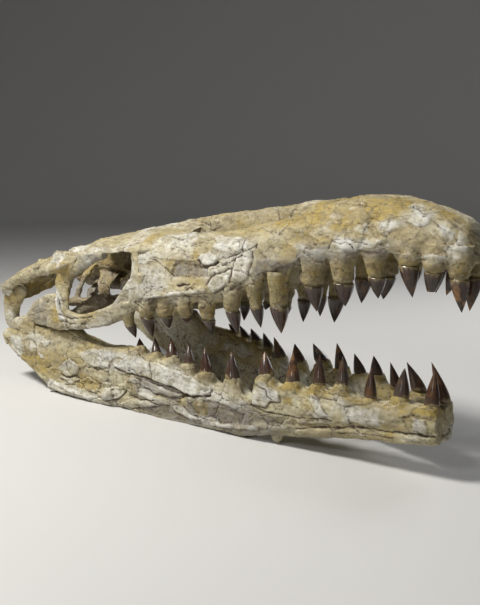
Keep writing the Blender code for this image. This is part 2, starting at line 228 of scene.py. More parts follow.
# %% [markdown]
# From grids to one skin
#
# Every form is a grid of points: sections carried along a line. Overlapping forms, such as a bar and
# the roof it grows from, are joined and remeshed on a fine lattice into one closed skin. Then the
# skin is evened out, because bones flow into each other, and the relief is pushed in along the normals.


# %% Grids, meshes and the remesh
def place(back, side, up):
    """Turn (back, side, up) arrays into points."""
    back, side, up = np.broadcast_arrays(back, side, up)
    return np.stack([SNOUT_X - back, side, up], axis=-1)


def closed_form(grid):
    """Turn a grid of sections (rows, around, 3) into points and faces, with a pole closing each end."""
    rows, around = grid.shape[:2]
    points = np.concatenate([grid.reshape(-1, 3), grid[:1].mean(1), grid[-1:].mean(1)])
    i = np.arange(rows - 1)[:, None] * around
    j = np.arange(around)[None, :]
    k = (j + 1) % around
    quads = np.stack([i + j, i + k, i + around + k, i + around + j], axis=-1).reshape(-1, 4)
    j, k = j[0], k[0]
    start, end = rows * around, rows * around + 1
    last = (rows - 1) * around
    near = np.stack([k, j, np.full(around, start)], axis=1)
    far = np.stack([last + j, last + k, np.full(around, end)], axis=1)
    return points, quads.tolist() + near.tolist() + far.tolist()


def mesh_from(name, points, faces):
    """Put points and faces in a mesh."""
    mesh = bpy.data.meshes.new(name)
    mesh.from_pydata(np.asarray(points).tolist(), [], faces)
    return mesh


def put_in_scene(name, data):
    """Make an object of a mesh, a lamp or a camera and link it to the scene."""
    item = bpy.data.objects.new(name, data)
    bpy.context.scene.collection.objects.link(item)
    return item


def grown(forms, voxel, rounds):
    """Join closed forms, remesh them into one skin and even it out. Gives points and four-sided faces."""
    points, faces, base = [], [], 0
    for grid in forms:
        more, shape = closed_form(grid)
        points.append(more)
        faces += [[base + index for index in face] for face in shape]
        base += len(more)
    item = put_in_scene("rough", mesh_from("rough", np.concatenate(points), faces))
    remesh = item.modifiers.new("grow", "REMESH")
    remesh.mode = "VOXEL"
    remesh.voxel_size = voxel
    graph = bpy.context.evaluated_depsgraph_get()
    skin = bpy.data.meshes.new_from_object(item.evaluated_get(graph))
    bpy.data.objects.remove(item, do_unlink=True)
    out = np.zeros(3 * len(skin.vertices), np.float32)
    skin.vertices.foreach_get("co", out)
    loops = np.zeros(len(skin.loops), np.int32)
    skin.loops.foreach_get("vertex_index", loops)
    bpy.data.meshes.remove(skin)
    faces = loops.reshape(-1, 4)
    return evened(out.reshape(-1, 3).astype(float), faces, rounds), faces


def edges_of(faces):
    """List each edge of the four-sided faces once a side."""
    return faces.T.reshape(-1), np.roll(faces, -1, axis=1).T.reshape(-1)


def neighbours_mean(values, faces):
    """Mean of each point's neighbours, from sums over the edges."""
    a, b = edges_of(faces)
    count = np.bincount(a, minlength=len(values)) + np.bincount(b, minlength=len(values))
    out = np.empty_like(values)
    for k in range(values.shape[1]):
        total = np.bincount(a, values[b, k], len(values)) + np.bincount(b, values[a, k], len(values))
        out[:, k] = total / count
    return out


def evened(values, faces, rounds):
    """Move each point towards its neighbours' mean, then a little less far back, so volume stays."""
    for _ in range(rounds):
        values = values + 0.55 * (neighbours_mean(values, faces) - values)
        values = values - 0.50 * (neighbours_mean(values, faces) - values)
    return values


def normals_of(points, faces):
    """Point normals: each face's normal, from its two diagonals, added up at its corners."""
    normal = np.cross(points[faces[:, 2]] - points[faces[:, 0]], points[faces[:, 3]] - points[faces[:, 1]])
    out = np.zeros_like(points)
    for k in range(3):
        for corner in range(4):
            out[:, k] += np.bincount(faces[:, corner], normal[:, k], len(points))
    return out / np.maximum(np.linalg.norm(out, axis=1, keepdims=True), 1e-12)


# %% [markdown]
# Sections
#
# Several kinds of section cover the skull. The snout, the roof and the jaws have sections of their own.
# Bars, such as the postorbital behind the eye, are ovals carried along a path. Flat bones, such as the
# jugal below the eye and the plate behind it, are rounded boxes.


# %% Rods, slabs and balls
UPRIGHT = (0.0, 0.0, 1.0)


def rod(path, sizes, hand=1, across=(0.0, 1.0, 0.0), steps=6, around=20, rounding=0.85):
    """Carry an oval along a smooth path; the ends are rounded like a quarter circle, or square if
    `rounding` is 0.

    Each size is (half thickness along `across`, half depth square to it and to the path).
    """
    path = curve(np.array(path), steps)
    size = curve(np.array(sizes), steps)
    line = place(path[:, 0], hand * path[:, 1], path[:, 2])
    tangent = np.gradient(line, axis=0)
    tangent /= np.linalg.norm(tangent, axis=1, keepdims=True)
    flat = np.array(across) - (tangent @ np.array(across))[:, None] * tangent
    flat /= np.linalg.norm(flat, axis=1, keepdims=True)
    deep = np.cross(tangent, flat)
    run = np.concatenate([[0.0], np.cumsum(np.linalg.norm(np.diff(line, axis=0), axis=1))])
    to_end = np.clip(np.minimum(run, run[-1] - run) / size.min(axis=1), 0.0, 1.0)
    swell = np.sqrt(1 - rounding * (1 - to_end) ** 2)[:, None]
    turn = 2 * np.pi * (np.arange(around) + 0.5) / around
    reach = swell * size
    return (line[:, None] + np.cos(turn)[None, :, None] * (reach[:, :1] * flat)[:, None]
            + np.sin(turn)[None, :, None] * (reach[:, 1:] * deep)[:, None])


def slab(backs, top, low, side, thick, hand=1, square=0.6):
    """Carry a rounded box back along the skull. Each of its four measures is a table or a number.

    Out from the middle it reaches side + thick*c and up it reaches middle + half*s, where c and s
    are a cosine and a sine raised to the power `square` with their signs kept.
    """
    top, low, side, thick = (reading(value, backs)[:, None] for value in (top, low, side, thick))
    turn = 2 * np.pi * (np.arange(32) + 0.5) / 32
    c = np.sign(np.cos(turn)) * np.abs(np.cos(turn)) ** square
    s = np.sign(np.sin(turn)) * np.abs(np.sin(turn)) ** square
    return place(backs[:, None], hand * (side + thick * c), (top + low) / 2 + (top - low) / 2 * s)


def ball(hand, *millimetres):
    """An oval lump from the place of its middle (back, side, up) and its three radii: circles of radius
    sin(a) at height cos(a), stretched to the radii."""
    back, side, up, *radii = [value / 1000 for value in millimetres]
    a = np.linspace(0.12, np.pi - 0.12, 12)[:, None]
    turn = 2 * np.pi * np.arange(20)[None, :] / 20
    unit = np.stack([np.sin(a) * np.cos(turn), np.sin(a) * np.sin(turn), np.cos(a) + 0 * turn], axis=-1)
    return place(back, hand * side, up) + unit * np.array(radii)


def section(points, steps=6):
    """Curve a section through its points: (side, up) pairs of arrays with a value for each place back."""
    return curve(np.stack([np.stack(pair, axis=-1) for pair in points], axis=1), steps)


def mirrored(back, side, up):
    """Add a half section's mirror image and place the whole ring."""
    side = np.concatenate([side, -side[:, -2:0:-1]], axis=1)
    up = np.concatenate([up, up[:, -2:0:-1]], axis=1)
    return place(back[:, None], side, up)


# %% [markdown]
# Teeth in the table, bone round the teeth
#
# No two teeth of a row are alike, so a table gives each its place and size, and both sides read it. The
# jaws need it too: a tooth of this animal stands on a bony pedestal that has grown into the rim, and
# between two pedestals the rim is scooped out.


# %% Tooth tables
def teeth(*rows):
    """Tooth rows with their lengths in metres: back, width, height where the crown begins, how far back
    and how high its point is. The last number is the worn share and stays as it is."""
    return [(*(value / 1000 for value in row[:5]), row[5]) for row in rows]


UPPER_TEETH = teeth((21, 25, 270, 20, 227, 0.9), (50, 25, 277, 61, 241, 1.0), (84, 27, 283, 82, 241, 0.3),
                    (128, 25, 264, 130, 235, 0.1), (178, 29, 252, 179, 219, 0.1),
                    (226, 28, 244, 224, 207, 0.2), (283, 29, 208, 283, 168, 0.2),
                    (324, 21, 205, 318, 172, 0.1), (365, 24, 193, 360, 156, 0.0),
                    (412, 21, 174, 410, 153, 0.1), (455, 21, 175, 462, 161, 0.1),
                    (497, 23, 170, 498, 149, 0.0), (536, 24, 164, 531, 130, 0.0),
                    (577, 21, 147, 567, 125, 0.1))
LOWER_TEETH = teeth((55, 22, 101, 58, 147, 0.2), (98, 23, 106, 100, 143, 0.2), (142, 19, 96, 148, 137, 0.2),
                    (184, 20, 109, 192, 145, 0.1), (220, 20, 103, 228, 143, 0.1),
                    (263, 22, 101, 272, 140, 0.5), (308, 26, 103, 322, 135, 0.4),
                    (370, 25, 88, 382, 126, 0.3), (421, 22, 88, 435, 125, 0.3), (455, 21, 97, 467, 127, 0.1),
                    (490, 22, 103, 505, 131, 0.1), (524, 18, 104, 540, 128, 0.1),
                    (558, 17, 107, 574, 122, 0.1))
FAR_LOWER_TIPS = pairs(70, 153, 114, 144, 148, 136, 184, 138, 225, 133, 266, 141, 322, 130, 372, 120, 428,
                       121, 459, 123, 496, 124, 532, 124, 568, 121)
UPPER_INSET = 0.0140  # from the bone's outer wall in to the row's line
LOWER_INSET = 0.0145
LEAST_SIDE = 0.0135  # the front roots stand at least this far from the middle plane
CROWN_INWARD = 0.009  # how far a crown's point leans in
TOOTH_BEND = 1.3  # a tooth leans with this power of its height


# %% Rims and pedestals
def scoop(back, rows, *depths):
    """How deep the rim is scooped: 0 at a tooth, the whole depth halfway to the next, a raised cosine.
    The depths are pairs (back, depth) with straight lines between them."""
    spots = np.array([row[0] for row in rows])
    step = np.interp(back, spots, np.arange(len(spots)))
    inside = soft_step(back, spots[0] - 0.004, spots[0] + 0.004)
    inside = inside * soft_step(-back, -spots[-1] - 0.004, -spots[-1])
    return inside * 0.5 * (1 - np.cos(2 * np.pi * step)) * np.interp(back, *np.transpose(depths))


def root_side(widths, inset, at):
    """How far from the middle plane a root stands."""
    return max(read(widths, at)[0] - inset, LEAST_SIDE)


def pedestals(rows, line, widths, inset, hand, share, spread, neck):
    """A short hollow-sided cone of bone round each root. It starts flush with the outer wall and
    narrows to the root `share` of the way from the rim to the crown, leaning with the tooth. It never
    reaches past the front end of the bone."""
    forms = []
    for back, width, crown_up, tip_back, tip_up, _ in rows:
        at = np.array([back])
        side, rim = root_side(widths, inset, at), read(line, at)[0]
        out = 1.0 if tip_up > crown_up else -1.0
        reach = max(share * abs(crown_up - rim), 0.003)
        path = [(back, side, rim - out * 0.026), (back, side, rim - out * 0.004)]
        for height in (0.45 * reach, reach):
            lean = (height / abs(tip_up - rim)) ** TOOTH_BEND
            path.append((back + lean * (tip_back - back), side - lean * CROWN_INWARD, rim + out * height))
        flush = min(max(read(widths, at)[0] - side - 0.0005, 0.010), 0.75 * width)
        room = back - line[0][0]
        sizes = ((flush + 0.0015, min(spread * width, room)), (flush, min(neck * width, room)),
                 (0.45 * flush + 0.27 * width, 0.59 * width), (0.475 * width, 0.50 * width))
        forms.append(rod(path, sizes, hand, around=24, rounding=0.0))
    return forms


# %% [markdown]
# The snout
#
# Premaxilla, maxillae, nasals and prefrontals have grown into one long box with a rounded top, steep
# sides and an arched palate between two rims that hold the teeth. Its half section runs from the
# middle of the top, down the side and round the rim to the middle of the palate, and is mirrored.

# %% Snout values
ROOF_LINE = pairs(0, 312, 10, 331, 35, 350, 65, 360, 100, 367, 180, 369, 250, 359, 330, 348, 410, 339, 480,
                  327, 560, 314, 620, 306)
TOOTH_LINE = pairs(0, 292, 30, 286, 60, 290, 100, 292, 150, 287, 200, 277, 250, 263, 300, 247, 335, 226, 370,
                   208, 440, 197, 500, 184, 560, 167, 620, 150)
SNOUT_WIDTH = pairs(0, 14, 10, 25, 30, 36, 60, 44, 100, 53, 200, 69, 300, 85, 400, 102, 500, 119, 570, 133,
                    620, 140)
VAULT_DEPTH = pairs(0, 1, 60, 6, 150, 18, 300, 30, 620, 34)
NARIS_SADDLE = ((0.0, 0.0), (0.20, 0.0), (0.30, 0.8), (0.42, 1.0), (0.50, 0.8), (0.56, 0.2), (0.62, 0.0))
NARIS_DEPTH = pairs(0, 0, 240, 0, 280, 9, 380, 17, 425, 36, 505, 36, 525, 0, 620, 0)


# %% Snout form
def snout_form():
    """Half section through eleven points, curved, mirrored and carried back; the nostril slit is a
    dip of exp(-(distance/width)^2) beside the bar in the middle of the top."""
    back = np.concatenate([[0.0005, 0.002, 0.005, 0.010, 0.016, 0.024], np.arange(0.032, 0.566, 0.006)])
    top, low, width = read(ROOF_LINE, back), read(TOOTH_LINE, back), read(SNOUT_WIDTH, back)
    low = low + scoop(back, UPPER_TEETH, *pairs(0, 10, 200, 9, 300, 6, 580, 4))
    vault, saddle = read(VAULT_DEPTH, back), read(NARIS_SADDLE, back)
    tall = top - low
    rim = np.minimum(0.026, 0.75 * width)
    boxy = soft_step(back, 0.45, 0.56)
    half = section([
        (0 * back, top), (0.15 * width, top - 0.01 * tall),
        (0.33 * width, top - (0.04 + 0.12 * saddle) * tall),
        ((0.60 + 0.11 * boxy) * width, top - (0.15 + 0.08 * saddle) * tall),
        ((0.83 + 0.06 * boxy) * width, top - 0.37 * tall),
        ((0.95 + 0.02 * boxy) * width, top - 0.62 * tall), (0.997 * width, low + 0.16 * tall),
        (width - 0.005, low), (width - rim, low), (0.85 * (width - rim), low + 0.6 * vault),
        (0 * back, low + vault)])
    side, up = half[..., 0], half[..., 1].copy()
    slit = (0.027 + 0.006 * np.clip((back - 0.27) / 0.24, 0, 1))[:, None]
    depth = np.maximum(read(NARIS_DEPTH, back), 0.0)[:, None]
    up -= (up > (top - 0.3 * tall)[:, None]) * depth * np.exp(-(((side - slit) / 0.0075) ** 2))
    return mirrored(back, side, up)


print("snout form", snout_form().shape)

# %% [markdown]
# Skull roof and cheeks
#
# Behind the snout the roof spreads over the eyes and narrows to a crest. Thin bars frame the eye
# and temple openings: the jugal below the eye, the postorbital behind it, the long bar above the
# temple, and two arms that run out to the jaw joint. A flat plate fills the corner behind the jugal.

# %% Roof values
TABLE_LINE = pairs(480, 312, 550, 312, 620, 304, 700, 289, 760, 277, 820, 262, 880, 247)
TABLE_WIDTH = pairs(480, 50, 540, 108, 600, 115, 655, 113, 690, 148, 730, 152, 755, 55, 800, 30, 880, 28)
TABLE_DROP = pairs(480, 16, 540, 34, 600, 33, 655, 34, 690, 40, 730, 40, 755, 14, 880, 8)
JUGAL_TOP = pairs(530, 235, 556, 234, 566, 222, 578, 204, 592, 186, 607, 176, 631, 167, 657, 160, 683, 155,
                  705, 158, 722, 162, 740, 155)
JUGAL_LOW = pairs(530, 180, 556, 172, 580, 156, 600, 146, 640, 134, 680, 126, 711, 123, 740, 124)
JUGAL_SIDE = pairs(530, 114, 570, 124.5, 620, 139, 680, 149, 740, 155)
CHEEK_TOP = pairs(715, 176, 728, 187, 745, 186, 781, 177, 812, 164, 831, 148, 845, 134)
CHEEK_LOW = pairs(715, 128, 728, 122, 745, 121, 781, 119, 812, 118, 831, 120, 845, 126)
BROW_LOW = pairs(646, 251, 660, 243, 684, 227, 701, 211, 708, 194, 722, 160)
BROW_SIDE = pairs(646, 115, 670, 132, 690, 144, 722, 150)


# %% Roof form and cheek forms
def roof_form():
    """A thin sloping sheet: top and under side read from the tables, closed at both edges."""
    back = np.arange(0.50, 0.881, 0.006)
    top, width, drop = read(TABLE_LINE, back), read(TABLE_WIDTH, back), read(TABLE_DROP, back)
    half = section([
        (0 * back, top), (0.5 * width, top - 0.25 * drop), (0.86 * width, top - 0.78 * drop),
        (width, top - drop - 0.003), (width - 0.006, top - drop - 0.009),
        (0.5 * width, top - 0.25 * drop - 0.015), (0 * back, top - 0.019)])
    return mirrored(back, half[..., 0], half[..., 1])


def cheek_forms(hand):
    """One side's jugal, brow and filling at the jaw joint, then its bars and plates and the lumps
    where they meet."""
    fill = np.arange(0.815, 0.912, 0.004)
    return [
        slab(np.arange(0.532, 0.742, 0.004), JUGAL_TOP, JUGAL_LOW, JUGAL_SIDE, 0.0075, hand),
        slab(np.arange(0.646, 0.722, 0.004), 0.262, BROW_LOW, BROW_SIDE, 0.008, hand),
        slab(fill, 0.140 - 0.25 * (fill - 0.815), 0.100, 0.1535, 0.009, hand),
        ball(hand, 722, 150, 236, 22, 10, 16),
        rod(triples(558, 104, 282, 562, 111, 262, 556, 117.5, 240, 554, 121.5, 224, 568, 124.5, 206),
            pairs(6, 12, 6, 12, 6, 12, 6, 11, 6, 10), hand),
        slab(np.arange(0.716, 0.846, 0.004), CHEEK_TOP, CHEEK_LOW, 0.1565, 0.0048, hand),
        rod(triples(720, 144, 252, 722, 150, 218, 721, 153, 178, 719, 154, 138),
            pairs(9, 32, 7.5, 23, 7, 18.5, 7, 15), hand),
        rod(triples(733, 157, 191, 728, 160, 168, 716.5, 160, 143),
            pairs(3, 3.5, 3.5, 4.5, 3, 3.5), hand, steps=8, around=16),
        rod(triples(700, 146, 243, 750, 157, 233, 800, 165, 219, 860, 170, 196, 912, 169, 174),
            pairs(9, 15, 9, 14.5, 8.5, 12.5, 8, 10.5, 10, 10), hand),
        ball(hand, 763, 157, 233, 18, 9, 13),
        ball(hand, 780, 158, 236, 10, 8, 9),
        ball(hand, 903, 161, 175, 25, 13, 14),
        ball(hand, 735, 150, 246, 22, 11, 14),
        ball(hand, 728, 108, 258.5, 30, 24, 9),
        ball(hand, 746, 141, 251.5, 15, 14, 9),
        rod(triples(815, 6, 246, 865, 60, 230, 892, 115, 201, 907, 160, 180),
            pairs(12, 10, 13, 8, 12, 8, 9, 10), hand, UPRIGHT),
        rod(triples(862, 10, 210, 880, 75, 203, 893, 115, 189, 903, 152, 171),
            pairs(16, 10, 26, 8, 30, 8, 26, 8), hand, UPRIGHT),
        rod(triples(725, 20, 262, 722, 90, 255, 716, 140, 248), pairs(8, 14, 8, 12, 10, 12), hand, UPRIGHT),
    ]


CREST = rod(triples(600, 0, 296, 720, 0, 278, 800, 0, 261, 868, 0, 246), pairs(10, 8, 7, 9, 6, 9, 6, 6))
ROOF_FORMS = [roof_form(), CREST] + cheek_forms(1) + cheek_forms(-1)
print("roof forms", len(ROOF_FORMS))

# %% [markdown]
# Braincase and palate
#
# Seen through the eye and temple openings there is a box for the brain with a ball behind it for
# the neck, and below it two long palate bones with a row of small curved teeth on each.


# %% Braincase and palate forms
def palate_forms(hand):
    """One side's palate bone with its props and teeth."""
    forms = [
        rod(triples(450, 46, 220, 530, 48, 200, 620, 50, 180, 700, 52, 165, 790, 64, 154, 870, 110, 148),
            pairs(12, 10, 15, 9, 17, 9, 17, 9, 13, 9, 6, 12), hand),
        rod(triples(700, 50, 163, 700, 85, 166, 703, 110, 162, 713, 150, 144),
            pairs(7, 16, 13, 18, 10, 17, 7, 12), hand, UPRIGHT),
        rod(triples(560, 60, 262, 600, 62, 240, 640, 54, 222, 690, 50, 190),
            pairs(4, 22, 4, 20, 4, 14, 5, 10), hand),
        rod(triples(815, 70, 152, 806, 58, 190, 796, 40, 222, 782, 18, 256),
            pairs(5, 9, 5, 7, 5, 7, 6, 8), hand),
        rod(triples(810, 10, 190, 790, 56, 160), pairs(11, 12, 9, 10), hand, UPRIGHT),
        rod(triples(772, 16, 212, 758, 36, 196, 745, 52, 178, 735, 58, 162),
            pairs(4, 26, 4, 17, 5, 12, 6, 16), hand, UPRIGHT),
        rod(triples(600, 40, 190, 655, 30, 212, 720, 18, 222), pairs(4, 14, 4, 16, 5, 14), hand, UPRIGHT),
    ]
    for i in range(5):
        back = 0.56 + 0.03 * i
        up = 0.190 - 0.19 * (back - 0.56)
        path = ((back, 0.049, up), (back + 0.002, 0.049, up - 0.014), (back + 0.009, 0.048, up - 0.026))
        forms.append(rod(path, pairs(5.5, 6, 4, 4.5, 1.2, 1.2), hand, around=12))
    return forms


MIDDLE_FORMS = [
    rod(triples(700, 0, 262, 770, 0, 232, 840, 0, 216, 882, 0, 209),
        pairs(20, 18, 33, 34, 36, 36, 28, 27), around=32),
    rod(triples(690, 0, 194, 780, 0, 188, 872, 0, 186), pairs(6, 6, 20, 14, 20, 16)),
    rod(triples(530, 0, 222, 620, 0, 200, 700, 0, 195), pairs(5, 14, 4, 9, 5, 7)),
    ball(1, 890, 0, 190, 18, 18, 16),
]
MIDDLE_FORMS += palate_forms(1) + palate_forms(-1)
print("braincase and palate forms", len(MIDDLE_FORMS))

# %% [markdown]
# Lower jaws
#
# Each jaw is one long bar: shallow and raised in front, with a rim for the teeth, and deeper and scaled
# with flaking plates behind. It lies on its lower edge, so that edge is flat and level. A small knob
# stands under the front half.

# %% Jaw values
JAW_TOP = pairs(42, 96, 55, 98.5, 98, 102.5, 142, 94.5, 184, 105, 220, 100.5, 263, 98.5, 308, 98, 338, 81,
                370, 84.5, 398, 81, 421, 85, 455, 93, 490, 100, 524, 101.5, 560, 105, 600, 104, 640, 102, 690,
                110, 760, 110, 830, 106, 870, 99, 910, 101, 930, 94)
JAW_LOW = pairs(42, 49, 55, 48, 100, 42, 150, 36, 240, 21, 300, 14, 350, 1.5, 360, 0, 750, 0, 760, 1.5, 810,
                20, 870, 40, 930, 70)
JAW_WIDTH = pairs(42, 21, 55, 26.5, 100, 36, 200, 57, 400, 95, 500, 112, 600, 130, 800, 160, 930, 165)
EAR_TOP = pairs(846, 178, 856, 185, 870, 187, 900, 183, 915, 176, 925, 165, 929, 150)
EAR_LOW = pairs(846, 171, 858, 158, 870, 148, 882, 137, 890, 112, 898, 98, 912, 99, 923, 112, 929, 140)
EAR_THICK = pairs(846, 3, 860, 7, 890, 10.5, 910, 10.5, 929, 6)


# %% Jaw form
def jaw_form(hand):
    """Ten points round the section, curved and carried back, with a rounded front and rear end."""
    back = np.concatenate([[0.0423, 0.044, 0.047, 0.052], np.arange(0.058, 0.924, 0.006), [0.926, 0.9295]])
    top, low = read(JAW_TOP, back), np.maximum(read(JAW_LOW, back), 0.0)
    top = top - scoop(back, LOWER_TEETH, *pairs(50, 3, 200, 6, 280, 10, 340, 14, 400, 10, 460, 6, 560, 4))
    top = top + 0.0085 * soft_step(back, 0.685, 0.715) * soft_step(-back, -0.885, -0.850)
    outer = read(JAW_WIDTH, back)
    inner = np.maximum(outer - 0.030, -0.0025)
    tall = top - low
    ring = [(outer - 0.004, top), (outer, top - 0.18 * tall), (outer + 0.002, top - 0.50 * tall),
            (outer - 0.002, low + 0.26 * tall), (outer - 0.001, low + 0.16 * tall), (outer - 0.006, low),
            (inner + 0.008, low), (inner + 0.003, low + 0.25 * tall), (inner, top - 0.40 * tall),
            (inner + 0.003, top)]
    ring = section(ring + ring[:1], 5)[:, :-1]
    middle = ring.mean(axis=1, keepdims=True)
    front_end = np.clip(1 - (back - 0.042) / 0.012, 0, 1) ** 2
    rear_end = np.clip(1 - (0.93 - back) / 0.012, 0, 1) ** 2
    close = 1 - 0.03 * front_end - 0.30 * rear_end
    ring = middle + close[:, None, None] * (ring - middle)
    return place(back[:, None], hand * ring[..., 0], np.maximum(ring[..., 1], 0.0))


def jaw_forms(hand):
    """The bar, the knob under it, the ledge of the angular bone with its lower edge, and the pedestals."""
    forms = [
        jaw_form(hand),
        rod(triples(281, 60, 40, 288, 60, 14, 290, 60, 1.5), pairs(12, 20, 9, 10, 6, 6), hand),
        rod(triples(605, 121, 22, 690, 134.5, 18, 760, 144.5, 21), pairs(14, 14, 15, 15.5, 12, 12), hand),
        rod(triples(776, 152, 12, 760, 151.5, 11, 700, 144, 10.5, 650, 134, 10, 615, 126, 9),
            pairs(10.5, 11, 10, 10.5, 9.5, 10, 9, 9.5, 8, 8.5), hand),
    ]
    return forms + pedestals(LOWER_TEETH, JAW_TOP, JAW_WIDTH, LOWER_INSET, hand, 0.9, 1.15, 0.74)


def quadrate_form(hand):
    """The upright ear-shaped bone at the joint: a flat plate, wide above and narrowing to its foot."""
    back = np.concatenate([[0.846, 0.848], np.arange(0.851, 0.925, 0.004), [0.9265, 0.9285]])
    return slab(back, EAR_TOP, EAR_LOW, 0.1565, EAR_THICK, hand, square=0.7)


print("jaw form", jaw_form(1).shape)

# %% [markdown]
# How the bone broke
#
# Fossil bone cracks into plates, loses flakes of its outer skin and takes up iron and clay stains.
# The random part comes from clouds and cells. The listed marks go on top: on the near side
# they lie where the photographed skull has them, and on the hidden side they are moved along, since
# a skull breaks in the same manner on both sides but never in the same places.


# %% Relief and stains
def near_marks(marks, back, up, facing, points, seed):
    """Height and colour masks, painted shade among them, from one set of marks, weighted by how much the
    surface faces the side.

    A crack is a valley -depth*exp(-(distance/width)^2). A plate stands up by its height, with a dark
    line just under its lower edge that is painted shadow. A dent sinks softly and is darkened, which is
    painted shade. A stain is an outline with a ragged edge, and grey and white push the ochre away;
    some grey outlines are painted shade.
    """
    wander = cloud(points, 0.012, seed, 3)
    back = back + 0.0024 * wander
    up = up + 0.0024 * cloud(points, 0.012, seed + 50, 3)
    patchy = cloud(points, 0.022, seed + 70, 4)
    open_share = soft_step(cloud(points, 0.016, seed + 60, 2), -0.75, 0.25)
    height = np.zeros(len(back))
    masks = {key: np.zeros(len(back)) for key in ("ochre", "white", "grey", "dirt_and_shade")}
    for line, width, depth in marks.get("cracks", ()):
        away = to_line(back, up, line)
        wide = 0.8 * width * (0.35 + 0.75 * open_share)
        height -= facing * 0.75 * depth * (0.3 + 0.7 * open_share) * np.exp(-((away / wide) ** 2))
        masks["dirt_and_shade"] += facing * (0.35 + 0.45 * open_share) * (1 - soft_step(away, 0.3 * wide, 1.3 * wide))
    for outline, rise, white in marks.get("plates", ()):
        inside = within(back, up, outline)
        height += facing * 1.5 * rise * soft_step(inside, -0.0008, 0.0014)
        pale = facing * white * soft_step(inside + 0.0030 * patchy, -0.0010, 0.0050)
        pale *= np.clip(0.80 + 0.7 * patchy, 0, 1)
        masks["white"] += pale
        masks["ochre"] -= pale
        # Painted shadow: a dark line just under the plate's lower edge.
        foot = soft_step(within(back, up + 0.0022, outline), 0.0, 0.0012)
        foot *= 1 - soft_step(inside, -0.0010, 0.0006)
        masks["dirt_and_shade"] += facing * 0.75 * min(rise / 0.002, 1.0) * foot
    # Painted shade: each dent is darkened by its last number.
    for outline, depth, dark in marks.get("dents", ()):
        inside = within(back, up, outline)
        height -= facing * depth * soft_step(inside, -0.001, 0.004)
        masks["dirt_and_shade"] += facing * dark * soft_step(inside, 0.0, 0.003)
    for key in ("ochre", "grey", "white"):
        for outline, strength, soft in marks.get(key, ()):
            inside = within(back, up, outline) + 0.004 * wander
            share = facing * strength * soft_step(inside, -soft, soft)
            masks[key] += share
            if key != "ochre":
                masks["ochre"] -= 0.6 * share
    return height, masks


HIDDEN_SHIFT = (-0.023, 0.004)  # how far the marks are moved back and up on the hidden side
DEEPEST, HIGHEST = -0.007, 0.0045  # the most that the relief may sink or stand out


